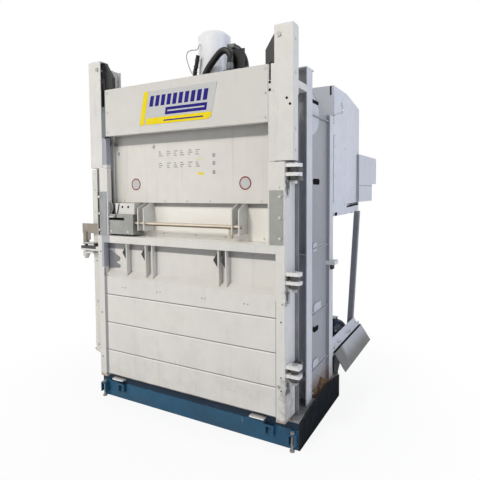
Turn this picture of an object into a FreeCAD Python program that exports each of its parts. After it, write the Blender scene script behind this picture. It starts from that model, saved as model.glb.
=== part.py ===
import FreeCAD, Part
import math
import os
import Sketcher

# Vertical bale press. Millimetres, +Z up, the front (door) side looks along -Y.
# The origin lies on the floor, straight under the axis of the press cylinder.
# Depths are counted from the door's front plane; from_axis moves them to the origin.

doc = FreeCAD.newDocument("baler")
sheet = doc.addObject("Spreadsheet::Sheet", "sizes")
V = FreeCAD.Vector
TURN_TO_X = FreeCAD.Rotation(V(0, 1, 0), 90)
TURN_TO_Y = FreeCAD.Rotation(V(1, 0, 0), -90)


class Size:
    """A length: its number now, and the sheet expression that gives it."""

    def __init__(self, value, text):
        self.value = value
        self.text = text

    def mix(self, other, sign, number):
        return Size(number, "(" + self.text + " " + sign + " " + as_size(other).text + ")")

    def __add__(self, other):
        return self.mix(other, "+", self.value + as_size(other).value)

    def __sub__(self, other):
        return self.mix(other, "-", self.value - as_size(other).value)

    def __mul__(self, other):
        return self.mix(other, "*", self.value * as_size(other).value)

    def __truediv__(self, other):
        return self.mix(other, "/", self.value / as_size(other).value)

    def __radd__(self, other):
        return as_size(other) + self

    def __rsub__(self, other):
        return as_size(other) - self

    def __rmul__(self, other):
        return as_size(other) * self

    def __neg__(self):
        return as_size(0) - self


def as_size(number):
    if isinstance(number, Size):
        return number
    return Size(float(number), "(" + repr(number) + ")")


rows = []


def cell(name, value):
    rows.append(name)
    place = "B" + str(len(rows))
    sheet.set("A" + str(len(rows)), name)
    sheet.set(place, str(value))
    sheet.setAlias(place, name)
    return Size(float(value), "sizes." + name)


# ---- driving dimensions -------------------------------------------------------------
# clearances
touch = cell("touch_gap", 0.3)
hair = cell("running_gap", 0.05)
# base
base_beyond = cell("base_beyond_column", 33)
base_front = cell("base_front", 87)
base_length = cell("base_length", 881)
base_height = cell("base_height", 180)
base_wall = cell("base_wall", 12)
base_rib = cell("base_rib_width", 60)
floor_plate = cell("floor_plate_thickness", 12)
screw_inset = cell("levelling_screw_from_base_side", 42)
clamp_inset = cell("floor_clamp_from_base_side", 212)
skirt_plate = cell("skirt_plate", 8)
skirt_edge = cell("skirt_edge_height", 176)
skirt_rise = cell("skirt_arch_rise", 42)
# side columns and chamber
plate = cell("column_plate", 8)
column_half = cell("column_half_width", 839)
column_front = cell("column_front", 297)
column_lip = cell("column_front_lip", 106)
column_web = cell("column_web_length", 393)
column_rear_lip = cell("column_rear_lip", 90)
column_recess = cell("column_web_recess", 26)
column_top = cell("column_top", 2493)
horn_width = cell("column_horn_width", 131)
shoulder_front = cell("shoulder_front_drop", 108)
shoulder_slope = cell("shoulder_slope_drop", 80)
shoulder_radius = cell("shoulder_radius", 170)
rear_drop = cell("column_rear_drop", 238)
chamber_half = cell("chamber_half_width", 690)
chamber_wall = cell("chamber_wall", 10)
chamber_front = cell("chamber_front", 171)
chamber_back = cell("chamber_back", 955)
portal_inset = cell("portal_flange_inset_from_column", 9)
rear_wall_top = cell("rear_wall_top", 1450)
# posts, header, pulleys
post_outer = cell("post_outer", 862)
post_width = cell("post_width", 124)
post_depth = cell("post_depth", 80)
post_bottom = cell("post_bottom", 1866)
post_top = cell("post_top", 2690)
cover_sheet = cell("cover_sheet", 4)
header_half = cell("header_half_width", 694)
header_bottom = cell("header_bottom", 2110)
header_top = cell("header_top", 2463)
header_depth = cell("header_depth", 48)
axle_offset = cell("pulley_axle_from_post_outer", 92)
axle_drop = cell("pulley_axle_below_post_top", 61)
axle_radius = cell("pulley_axle_radius", 9)
pulley_radius = cell("pulley_radius", 51)
pulley_edge = cell("pulley_edge_beside_belt", 3)
belt_width = cell("belt_width", 22)
belt_thick = cell("belt_thickness", 3)
belt_front = cell("belt_front", 51)
guard_half = cell("pulley_guard_inner_edge", 657)
guard_front = cell("pulley_guard_front", 44)
guard_rise = cell("pulley_guard_side_height", 102)
weight_height = cell("counterweight_height", 160)
weight_width = cell("counterweight_width", 60)
weight_drop = cell("counterweight_below_axle", 86)
strip_top = cell("slot_strip_top", 2296)
arm_low = cell("post_arm_bottom", 2330)
# flap and its guides
guide_front = cell("guide_front", 76)
guide_width = cell("guide_width", 22)
guide_wall = cell("guide_web", 8)
flap_front = cell("flap_front", 92.3)
flap_step = cell("flap_step_depth", 42)
step_above_bar = cell("flap_step_above_bar", 156)
flap_top = cell("flap_top", 2124)
flap_sheet = cell("flap_sheet", 5)
flap_depth = cell("flap_depth", 59)
flap_travel = cell("flap_travel", 500)
lug_top = cell("belt_lug_top", 2060)
bar_above_door = cell("lock_bar_above_door_line", 102)
bar_front = cell("lock_bar_axis_depth", 40)
bar_radius = cell("lock_bar_radius", 14)
bar_left = cell("lock_bar_left_end", 450)
bar_right = cell("lock_bar_right_end", 474)
bracket_plate = cell("bar_bracket_plate", 8)
bracket_width = cell("bar_bracket_width", 62)
bracket_front = cell("bar_bracket_front", 14)
bracket_left = cell("left_bracket_centre", 372)
bracket_right = cell("right_bracket_centre", 444)
bracket_below = cell("bar_bracket_below_bar", 52)
box_left = cell("lock_box_left", 684)
box_right = cell("lock_box_right", 442)
box_above = cell("lock_box_above_bar", 68)
box_below = cell("lock_box_below_bar", 86)
box_front = cell("lock_box_front", 8)
# door
door_half = cell("door_half_width", 805)
door_depth = cell("door_depth", 169)
door_bottom = cell("door_bottom", 202)
door_line = cell("door_line_height", 1338)
door_top = cell("door_top", 1860)
stile_width = cell("stile_width", 62)
stile_sheet = cell("stile_sheet", 6)
jamb_depth = cell("jamb_depth", 43)
door_sheet = cell("door_sheet", 5)
door_flange = cell("door_flange_height", 55)
recess_depth = cell("door_recess_depth", 58)
recess_slope = cell("door_recess_slope", 44)
panel_top = cell("door_panel_top", 1017)
fold_high = cell("door_fold_high", 874)
fold_middle = cell("door_fold_middle", 651)
fold_low = cell("door_fold_low", 428)
panel_bottom = cell("door_panel_bottom", 236)
fold_depth = cell("fold_groove_depth", 4)
fold_width = cell("fold_groove_half_width", 5)
back_plate = cell("door_back_plate", 8)
rib_plate = cell("door_rib_plate", 10)
hook_reach = cell("strap_hook_reach", 116)
hook_low = cell("strap_hook_bottom", 1072)
hook_plate = cell("strap_hook_plate", 6)
plate_width = cell("guide_plate_width", 93)
plate_height = cell("guide_plate_height", 341)
plate_thick = cell("guide_plate_thickness", 4)
bolt_head = cell("bolt_head_radius", 10)
# hinges and latch
hinge_out = cell("hinge_axis_from_door_side", 50)
hinge_back = cell("hinge_axis_depth", 40)
hinge_eye = cell("hinge_eye_radius", 28)
hinge_pin = cell("hinge_pin_radius", 12)
lug_plate = cell("hinge_lug_thickness", 22)
knuckle_plate = cell("hinge_knuckle_thickness", 27)
hinge_play = cell("hinge_play", 6)
hinge_top = cell("top_hinge_height", 1848)
hinge_mid = cell("middle_hinge_height", 1172)
hinge_low = cell("bottom_hinge_height", 580)
latch_out = cell("latch_pin_from_door_side", 180)
latch_back = cell("latch_pin_depth", 42)
latch_pin = cell("latch_pin_radius", 12)
latch_height = cell("latch_lug_height", 1181)
latch_lug = cell("latch_lug_thickness", 14)
latch_gap = cell("latch_lug_gap", 60)
lever_top = cell("latch_lever_top", 1424)
lever_low = cell("latch_lever_bottom", 1346)
lever_plate = cell("latch_lever_plate", 10)
latch_post_beyond = cell("latch_post_beyond_column", 84)
latch_post_width = cell("latch_post_width", 58)
latch_post_front = cell("latch_post_front", 64)
latch_post_low = cell("latch_post_bottom", 370)
# press
press_back = cell("press_axis_depth", 490)
barrel_radius = cell("barrel_radius", 130)
barrel_top = cell("barrel_top", 2907)
barrel_wall = cell("barrel_wall", 16)
cap_chamfer = cell("barrel_cap_chamfer", 28)
barrel_low = cell("barrel_bottom", 1935)
barrel_flange = cell("barrel_flange_thickness", 30)
flange_half = cell("barrel_flange_half_width", 175)
gland_height = cell("rod_gland_height", 60)
rod_radius = cell("piston_rod_radius", 70)
stroke = cell("press_stroke", 800)
platen_low = cell("platen_bottom", 1880)
platen_depth = cell("platen_depth", 250)
platen_plate = cell("platen_plate", 20)
beam_height = cell("head_beam_height", 200)
beam_width = cell("head_beam_width", 75)
beam_low = cell("head_beam_bottom", 2200)
mount_plate = cell("cylinder_plate_thickness", 25)
beam_gap = cell("beam_gap_to_barrel", 6)
seat_half = cell("cylinder_plate_half_width", 340)
# rear bay
hood_inset = cell("hood_inset_from_column", 29)
hood_front = cell("hood_front", 985)
hood_fold = cell("hood_fold", 1371)
hood_rear = cell("hood_rear", 2177)
hood_taper = cell("hood_taper", 92)
hood_low = cell("hood_bottom", 1470)
hood_top = cell("hood_top", 2520)
hood_sheet = cell("hood_sheet", 4)
load_top = cell("loading_opening_top", 2180)
cabinet_beyond = cell("cabinet_beyond_hood_rear", 34)
cabinet_width = cell("cabinet_width", 300)
cabinet_lap = cell("cabinet_lap_on_hood", 152)
cabinet_length = cell("cabinet_length", 688)
cabinet_nose = cell("cabinet_nose_length", 215)
cabinet_top = cell("cabinet_top", 2048)
cabinet_mid = cell("cabinet_step_height", 1753)
cabinet_low = cell("cabinet_bottom", 1560)
strut_size = cell("strut_size", 50)
strut_head = cell("strut_head", 1930)
strut_foot = cell("strut_foot", 1692)
rail_beyond = cell("side_rail_beyond_column", 1)
rail_width = cell("side_rail_width", 55)
rail_top = cell("side_rail_top", 440)
rail_low = cell("side_rail_bottom", 340)
rail_end = cell("side_rail_end", 1745)
flare_lap = cell("flare_top_beyond_rail", 12)
flare_reach = cell("flare_bottom_beyond_rail", 105)
flare_top = cell("flare_top", 376)
flare_low = cell("flare_bottom", 236)
flare_sheet = cell("flare_sheet", 5)
flare_start = cell("flare_start", 900)
flare_end = cell("flare_end", 1765)
motor_radius = cell("motor_radius", 105)
motor_inset = cell("motor_axis_from_side_rail", 121)
motor_height = cell("motor_axis_height", 348)
motor_front = cell("motor_front", 1350)
motor_length = cell("motor_length", 230)
bell_length = cell("motor_bell_length", 22)
cowl_length = cell("motor_cowl_length", 48)
fin_depth = cell("motor_fin_depth", 13)
fin_plate = cell("motor_fin_thickness", 4)
fin_pairs = 12
hole_sides = 12

# valve block and hose shield on the cylinder plate
valve_inner = cell("valve_block_inner", 190)
valve_outer = cell("valve_block_outer", 330)
valve_top = cell("valve_block_top", 2560)
side_valve_inner = cell("side_valve_inner", 262)
shield_inner = cell("hose_shield_inner", 226)
shield_top = cell("hose_shield_top", 2722)
valve_back = cell("valve_block_before_axis", 110)

# ---- derived places -----------------------------------------------------------------
zero = as_size(0)
base_half = column_half + base_beyond
bar_height = door_line + bar_above_door
flap_step_height = bar_height + step_above_bar
bracket_low = bar_height - bracket_below
box_top = bar_height + box_above
box_bottom = bar_height - box_below
latch_post_out = column_half + latch_post_beyond
hood_half = column_half - hood_inset
hood_rear_half = hood_half - hood_taper
cabinet_out = hood_rear_half + cabinet_beyond
cabinet_start = hood_rear - cabinet_lap
cabinet_rear = hood_rear + cabinet_length
cabinet_step = cabinet_rear - cabinet_nose
rail_out = column_half + rail_beyond
rail_inner = rail_out - rail_width
motor_out = rail_inner - motor_inset
flare_top_out = rail_out + flare_lap
flare_out = rail_out + flare_reach
floor_top = base_height + floor_plate
base_back = base_front + base_length
web_front = column_front + column_lip
web_back = web_front + column_web
column_back = web_back + column_rear_lip
post_inner = post_outer - post_width
axle_x = post_outer - axle_offset
axle_z = post_top - axle_drop
belt_back = belt_front + belt_width
guide_outer = chamber_half + guide_width
groove_x = guide_outer - guide_wall
flap_half = groove_x - touch
flap_bottom = door_line + touch
flap_back = flap_front + flap_depth
hinge_x = door_half + hinge_out
latch_x = -door_half - latch_out
platen_top = platen_low + platen_depth
beam_top = beam_low + beam_height
chamber_top = beam_low - touch
mount_top = beam_top + mount_plate
head_front = press_back - barrel_radius - beam_gap - beam_width
head_back = press_back + barrel_radius + beam_gap + beam_width


# ---- shaping helpers ----------------------------------------------------------------
def bind(thing, path, size):
    thing.setExpression(path, as_size(size).text)


def from_axis(depth):
    return as_size(depth) - press_back


def moved_back(plane, points):
    """An outline's own depths, counted from the press axis."""
    if plane == "XY":
        return [(x, from_axis(y)) for x, y in points]
    if plane == "YZ":
        return [(from_axis(y), z) for y, z in points]
    return points


def level_on(plane, low, high, far):
    """The sketch's distance along its plane's normal; XZ looks along -Y."""
    if plane == "XZ":
        return -from_axis(low if far else high)
    return high if far else low


def block(name, x, y, z):
    """A rectangular bar or plate between two places on each axis."""
    y = (from_axis(y[0]), from_axis(y[1]))
    box = doc.addObject("Part::Box", name)
    box.Label = name
    for prop, axis, (low, high) in (("Length", "x", x), ("Width", "y", y), ("Height", "z", z)):
        bind(box, prop, as_size(high) - low)
        bind(box, "Placement.Base." + axis, low)
    return box


def rod(name, axis, centre, radius, low, high, sides=0):
    """A bar along axis, centred on the two other places in X, Y, Z order; round, or with sides."""
    bar = doc.addObject("Part::Prism" if sides else "Part::Cylinder", name)
    bar.Label = name
    if sides:
        bar.Polygon = sides
    bind(bar, "Circumradius" if sides else "Radius", radius)
    bind(bar, "Height", as_size(high) - low)
    turn = {"X": TURN_TO_X, "Y": TURN_TO_Y, "Z": FreeCAD.Rotation()}[axis]
    bar.Placement = FreeCAD.Placement(V(0, 0, 0), turn)
    first, second = centre
    places = {"X": (low, from_axis(first), second), "Y": (first, from_axis(low), second),
              "Z": (first, from_axis(second), low)}[axis]
    for letter, place in zip("xyz", places):
        bind(bar, "Placement.Base." + letter, place)
    return bar


def join(name, pieces):
    fused = doc.addObject("Part::MultiFuse", name)
    fused.Label = name
    fused.Shapes = pieces
    fused.Refine = True
    return fused


def group(name, pieces):
    """Like pieces that are made and fitted apart, kept together under one name."""
    bundle = doc.addObject("Part::Compound", name)
    bundle.Label = name
    bundle.Links = pieces
    return bundle


def cut(name, base, tools):
    removed = doc.addObject("Part::Cut", name)
    removed.Label = name
    removed.Base = base
    removed.Tool = tools[0] if len(tools) == 1 else join(name + "_cutters", tools)
    return removed


def origin_plane(body, role):
    return [plane for plane in body.Origin.OriginFeatures if plane.Role == role][0]


def place_point(sketch, geo, pos, point):
    """Ties one end of a line to its place, from the sheet."""
    for kind, axis_id, size in (("DistanceX", -2, point[0]), ("DistanceY", -1, point[1])):
        size = as_size(size)
        if abs(size.value) < 1e-9:
            sketch.addConstraint(Sketcher.Constraint("PointOnObject", geo, pos, axis_id))
            continue
        if size.value > 0:
            made = Sketcher.Constraint(kind, -1, 1, geo, pos, size.value)
        else:
            size = -size
            made = Sketcher.Constraint(kind, geo, pos, -1, 1, size.value)
        index = sketch.addConstraint(made)
        sketch.setExpression("Constraints[" + str(index) + "]", size.text)


def arc_between(start, end, radius, bulge):
    """The short arc from start to end; bulge +1 swells to the right of the way, -1 to the left."""
    middle = (start + end) * 0.5
    way = end - start
    half = way.Length / 2
    across = V(-way.y, way.x, 0).normalize() * bulge
    centre = middle + across * math.sqrt(max(radius * radius - half * half, 0))
    crown = centre - across * radius
    return Part.Arc(start, crown, end).toShape().Curve, centre


def draw_outline(sketch, points, arcs):
    """A closed outline; arcs maps an edge's number to its radius and the side it swells to."""
    spots = [V(as_size(a).value, as_size(b).value, 0) for a, b in points]
    ends = []
    for i, start in enumerate(spots):
        end = spots[(i + 1) % len(spots)]
        if i not in arcs:
            geo = sketch.addGeometry(Part.LineSegment(start, end))
            ends.append((geo, 1, 2))
            continue
        radius, bulge = arcs[i]
        circle, centre = arc_between(start, end, as_size(radius).value, bulge)
        first = math.atan2(start.y - centre.y, start.x - centre.x)
        last = math.atan2(end.y - centre.y, end.x - centre.x)
        round_way = Part.Circle(centre, V(0, 0, 1), as_size(radius).value)
        turns_left = bulge > 0
        angles = (first, last) if turns_left else (last, first)
        geo = sketch.addGeometry(Part.ArcOfCircle(round_way, *angles))
        ends.append((geo, 1, 2) if turns_left else (geo, 2, 1))
        index = sketch.addConstraint(Sketcher.Constraint("Radius", geo, as_size(radius).value))
        sketch.setExpression("Constraints[" + str(index) + "]", as_size(radius).text)
    for i, (geo, begin, finish) in enumerate(ends):
        follower, its_begin, _ = ends[(i + 1) % len(ends)]
        sketch.addConstraint(Sketcher.Constraint("Coincident", geo, finish, follower, its_begin))
        place_point(sketch, geo, begin, points[i])


def sketch_on(body, plane, level):
    """A sketch on the body's own origin plane, moved along the plane's normal to level."""
    sketch = body.newObject("Sketcher::SketchObject", body.Name + "_sketch")
    sketch.AttachmentSupport = [(origin_plane(body, plane + "_Plane"), "")]
    sketch.MapMode = "FlatFace"
    bind(sketch, "AttachmentOffset.Base.z", level)
    return sketch


def pad(body, plane, points, low, high, arcs=None):
    """Fills an outline drawn on a plane (XY, XZ or YZ) from low to high across it."""
    sketch = sketch_on(body, plane, level_on(plane, low, high, False))
    draw_outline(sketch, moved_back(plane, points), arcs or {})
    feature = body.newObject("PartDesign::Pad", body.Name + "_pad")
    feature.Profile = sketch
    bind(feature, "Length", as_size(high) - low)
    return feature


def pocket(body, plane, points, low, high, arcs=None):
    """Cuts an outline out of the body from low to high across the plane."""
    sketch = sketch_on(body, plane, level_on(plane, low, high, True))
    draw_outline(sketch, moved_back(plane, points), arcs or {})
    return finish_pocket(body, sketch, low, high)


def bore(body, plane, centre, radius, low, high, sides=0):
    """A round hole, or one whose flats touch the radius where sides are given."""
    if sides:
        reach = radius / math.cos(math.pi / sides)
        corners = []
        for i in range(sides):
            angle = 2 * math.pi * i / sides
            corners.append((centre[0] + reach * math.cos(angle), centre[1] + reach * math.sin(angle)))
        return pocket(body, plane, corners, low, high)
    sketch = sketch_on(body, plane, level_on(plane, low, high, True))
    centre = moved_back(plane, [centre])[0]
    middle = V(as_size(centre[0]).value, as_size(centre[1]).value, 0)
    geo = sketch.addGeometry(Part.Circle(middle, V(0, 0, 1), as_size(radius).value))
    place_point(sketch, geo, 3, centre)
    index = sketch.addConstraint(Sketcher.Constraint("Radius", geo, as_size(radius).value))
    sketch.setExpression("Constraints[" + str(index) + "]", as_size(radius).text)
    return finish_pocket(body, sketch, low, high)


def finish_pocket(body, sketch, low, high):
    feature = body.newObject("PartDesign::Pocket", body.Name + "_pocket")
    feature.Profile = sketch
    bind(feature, "Length", as_size(high) - low)
    return feature


def folded(name, plane, points, low, high, arcs=None):
    """A body made from one outline, the way a folded or rolled section is."""
    body = doc.addObject("PartDesign::Body", name)
    body.Label = name
    pad(body, plane, points, low, high, arcs)
    return body


def revolve(body, points):
    sketch = sketch_on(body, "XZ", zero)
    draw_outline(sketch, points, {})
    feature = body.newObject("PartDesign::Revolution", body.Name + "_turn")
    feature.Profile = sketch
    feature.ReferenceAxis = (sketch, ["V_Axis"])
    feature.Angle = 360


def turned(name, points, x, y, z):
    """A body of revolution: points are radius and height, its axis stands at x, y from z."""
    body = doc.addObject("PartDesign::Body", name)
    body.Label = name
    revolve(body, points)
    for letter, place in zip("xyz", (x, from_axis(y), z)):
        bind(body, "Placement.Base." + letter, place)
    return body


def span(side, low, high):
    """The range from low to high, mirrored to the left where side is -1."""
    return (low, high) if side > 0 else (-as_size(high), -as_size(low))


def ring(centre, direction, radius, sides):
    """A closed many-sided outline round a centre, square to a direction."""
    turn = FreeCAD.Rotation(V(0, 0, 1), direction)
    corners = []
    for i in range(sides + 1):
        angle = 2 * math.pi * i / sides
        corners.append(centre + turn.multVec(V(math.cos(angle), math.sin(angle), 0) * radius))
    return Part.makePolygon(corners)


def tube(name, points, radius, sides=6):
    """A bar or hose through hand-set points, its corners eased by large arcs."""
    spots = [V(x, y - press_back.value, z) for x, y, z in points]
    radii = []
    pieces = []
    here = spots[0]
    for before, corner, after in zip(spots, spots[1:], spots[2:]):
        way_in = (corner - before).normalize()
        way_out = (after - corner).normalize()
        half_turn = way_in.getAngle(way_out) / 2
        shorter = min((corner - before).Length, (after - corner).Length)
        bend = 0.45 * shorter / math.tan(half_turn)
        radii.append(round(bend))
        start = corner - way_in * 0.45 * shorter
        end = corner + way_out * 0.45 * shorter
        bisector = (way_out - way_in).normalize()
        crown = corner + bisector * (bend / math.cos(half_turn) - bend)
        pieces.append(Part.LineSegment(here, start).toShape())
        pieces.append(Part.Arc(start, crown, end).toShape())
        here = end
    pieces.append(Part.LineSegment(here, spots[-1]).toShape())
    path = Part.Wire(pieces)
    section = ring(spots[0], spots[1] - spots[0], radius.value, sides)
    solid = path.makePipeShell([section], True, False)
    wanted = sides / 2 * math.sin(2 * math.pi / sides) * radius.value ** 2 * path.Length
    print(name, "bend radii", radii, "volume share", round(solid.Volume / wanted, 4))
    feature = doc.addObject("Part::Feature", name)
    feature.Label = name
    feature.Shape = solid
    feature.Placement = FreeCAD.Placement()
    return feature


nodes = []


def keep(*made):
    nodes.extend(made)


# ---- base ---------------------------------------------------------------------------
def build_base():
    across = (-base_half + skirt_plate, base_half - skirt_plate)
    front = block("base_front_beam", across, (base_front, base_front + base_rib), (0, base_height))
    back = block("base_back_beam", across, (base_back - base_rib, base_back), (0, base_height))
    rails = []
    for side in (-1, 0, 1):
        middle = side * (base_half - skirt_plate - base_rib / 2)
        rails.append(block("base_rail_" + str(side + 1), (middle - base_rib / 2, middle + base_rib / 2),
                           (base_front, base_back), (0, base_height)))
    keep(join("base_frame", [front, back] + rails))
    keep(block("floor_plate", across, (base_front, base_back), (base_height, floor_top)))

    outline = [(base_front, 0), (base_back, 0), (base_back, skirt_edge), (base_front, skirt_edge)]
    half = base_length / 2
    arch = half * half / (2 * skirt_rise) + skirt_rise / 2
    skirts = []
    for side, word in ((-1, "left"), (1, "right")):
        low, high = span(side, base_half - skirt_plate, base_half)
        skirts.append(folded("skirt_" + word, "YZ", outline, low, high, {2: (arch, 1)}))
    keep(group("base_skirts", skirts))


# ---- side columns and chamber -------------------------------------------------------
def build_columns():
    inner = chamber_half + chamber_wall
    web_out = column_half - column_recess
    horn = column_front + horn_width
    shoulder = column_top - shoulder_front
    slope_end = shoulder - shoulder_slope
    rear_top = column_top - rear_drop
    above = column_top + plate
    behind = column_back + plate
    columns = []
    for side, word in ((-1, "left"), (1, "right")):
        section = [
            (inner, web_front - plate), (column_half - plate, web_front - plate),
            (column_half - plate, column_front), (column_half, column_front),
            (column_half, web_front), (web_out, web_front),
            (web_out, web_back), (column_half, web_back),
            (column_half, column_back), (column_half - plate, column_back),
            (column_half - plate, web_back + plate), (inner, web_back + plate),
            (inner, web_back), (web_out - plate, web_back),
            (web_out - plate, web_front), (inner, web_front),
        ]
        section = [(side * x, y) for x, y in section]
        body = folded("column_" + word + "_section", "XY", section, floor_top, column_top)
        across = span(side, inner - plate, column_half + plate)
        pocket(body, "YZ", [(horn, above), (horn, shoulder), (web_back - column_lip, slope_end),
                            (web_back, rear_top), (behind, rear_top), (behind, above)],
               *across, {2: (shoulder_radius, -1)})
        for height in (1744, 674):
            bore(body, "YZ", (web_front + column_lip, height), as_size(22), *across, hole_sides)
        stiffeners = []
        for number, height in enumerate((379, 787, 1261, 2202)):
            stiffeners.append(block("column_" + word + "_shelf_" + str(number),
                                    span(side, web_out, column_half - plate),
                                    (web_front, web_back), (height, height + plate)))
        for number, height in enumerate((372, 1240, 2350)):
            stiffeners.append(block("column_" + word + "_stay_" + str(number),
                                    span(side, inner, column_half - plate),
                                    (column_front + 20, web_front - plate), (height, height + plate)))
        cap = block("column_" + word + "_cap", span(side, inner, column_half),
                    (column_front, horn), (column_top, column_top + plate))
        columns.append(join("column_" + word, [body, cap] + stiffeners))
    keep(group("side_columns", columns))


def build_chamber():
    walls = []
    for side, word in ((-1, "left"), (1, "right")):
        flange = column_half - portal_inset
        section = [(chamber_half, chamber_front), (flange, chamber_front),
                   (flange, chamber_front + plate), (chamber_half + chamber_wall, chamber_front + plate),
                   (chamber_half + chamber_wall, chamber_back), (chamber_half, chamber_back)]
        wall = folded("wall_" + word, "XY", [(side * x, y) for x, y in section], floor_top, chamber_top)
        walls.append(wall)
    keep(group("chamber_walls", walls))

    inside = (-chamber_half, chamber_half)
    back = block("rear_sheet", (-chamber_half - chamber_wall, chamber_half + chamber_wall),
                 (chamber_back, chamber_back + chamber_wall), (floor_top, rear_wall_top))
    lip = block("rear_lip", inside, (chamber_back - 60, chamber_back), (rear_wall_top - 60, rear_wall_top))
    ribs = []
    for number in range(4):
        middle = chamber_half * (number - 1.5) / 2
        ribs.append(block("rear_rib_" + str(number), (middle - 25, middle + 25),
                          (chamber_back + chamber_wall, hood_front - touch), (floor_top, rear_wall_top)))
    keep(join("rear_wall", [back, lip] + ribs))


# ---- head: beams, press cylinder, header, posts --------------------------------------
def build_head():
    beams = []
    reach = (-chamber_half - chamber_wall, chamber_half + chamber_wall)
    for word, front in (("front", head_front), ("rear", head_back - beam_width)):
        back = front + beam_width
        section = [(front, beam_low), (back, beam_low), (back, beam_low + plate),
                   (front + plate, beam_low + plate), (front + plate, beam_top - plate),
                   (back, beam_top - plate), (back, beam_top), (front, beam_top)]
        beams.append(folded("head_beam_" + word, "YZ", section, *reach))
    keep(group("head_beams", beams))

    seat = block("cylinder_seat", (-seat_half, seat_half), (head_front, head_back), (beam_top, mount_top))
    hole = rod("cylinder_seat_hole", "Z", (zero, press_back), barrel_radius + touch,
               beam_top - 1, mount_top + 1)
    keep(cut("cylinder_plate", seat, [hole]))

    inner = barrel_radius - barrel_wall
    low = mount_top + touch
    high = low + barrel_flange
    front = press_back - flange_half
    back = press_back + flange_half
    flange = [(-flange_half, front), (flange_half, front), (flange_half, back), (-flange_half, back)]
    body = folded("press_cylinder", "XY", flange, low, high)
    bore(body, "XY", (zero, press_back), inner, low - 1, high + 1)
    revolve(body, [(0, barrel_top - barrel_wall), (0, barrel_top), (barrel_radius - cap_chamfer, barrel_top),
                   (barrel_radius, barrel_top - cap_chamfer), (barrel_radius, barrel_low),
                   (rod_radius + hair, barrel_low), (rod_radius + hair, barrel_low + gland_height),
                   (inner, barrel_low + gland_height), (inner, barrel_top - barrel_wall)])
    keep(body)


def build_platen():
    inner = barrel_radius - barrel_wall
    head = barrel_low + stroke + 70
    outline = [(0, platen_low + platen_plate + touch), (rod_radius, platen_low + platen_plate + touch),
               (rod_radius, head), (inner - 1, head), (inner - 1, head + 60), (0, head + 60)]
    keep(turned("piston_rod", outline, zero, press_back, zero))

    side = chamber_half - 10
    front = chamber_front + 25
    back = chamber_back - 70
    low_plate = block("platen_face", (-side, side), (front, back), (platen_low, platen_low + platen_plate))
    top_plate = block("platen_lid", (-side, side), (front, back), (platen_top - platen_plate, platen_top))
    walls = [
        block("platen_front_wall", (-side, side), (front, front + platen_plate), (platen_low, platen_top)),
        block("platen_back_wall", (-side, side), (back - platen_plate, back), (platen_low, platen_top)),
    ]
    for number, x in enumerate((-side, -as_size(300), as_size(280), side - platen_plate)):
        walls.append(block("platen_rib_" + str(number), (x, x + platen_plate), (front, back),
                           (platen_low, platen_top)))
    well = rod("platen_well", "Z", (zero, press_back), barrel_radius + 8,
               platen_top - platen_plate - 1, platen_top + 1)
    lid = cut("platen_lid_open", top_plate, [well])
    keep(join("press_platen", [low_plate, lid] + walls))


def build_header():
    back = header_depth
    body = folded("header_panel", "YZ",
                  [(0, header_bottom), (back, header_bottom), (back, header_bottom + cover_sheet),
                   (cover_sheet, header_bottom + cover_sheet), (cover_sheet, header_top - cover_sheet),
                   (back, header_top - cover_sheet), (back, header_top), (0, header_top)],
                  -header_half, header_half)
    for side in (-1, 1):
        pad(body, "YZ", [(0, header_bottom), (back, header_bottom), (back, header_top), (0, header_top)],
            *span(side, header_half - cover_sheet, header_half))
    keep(body)


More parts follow.
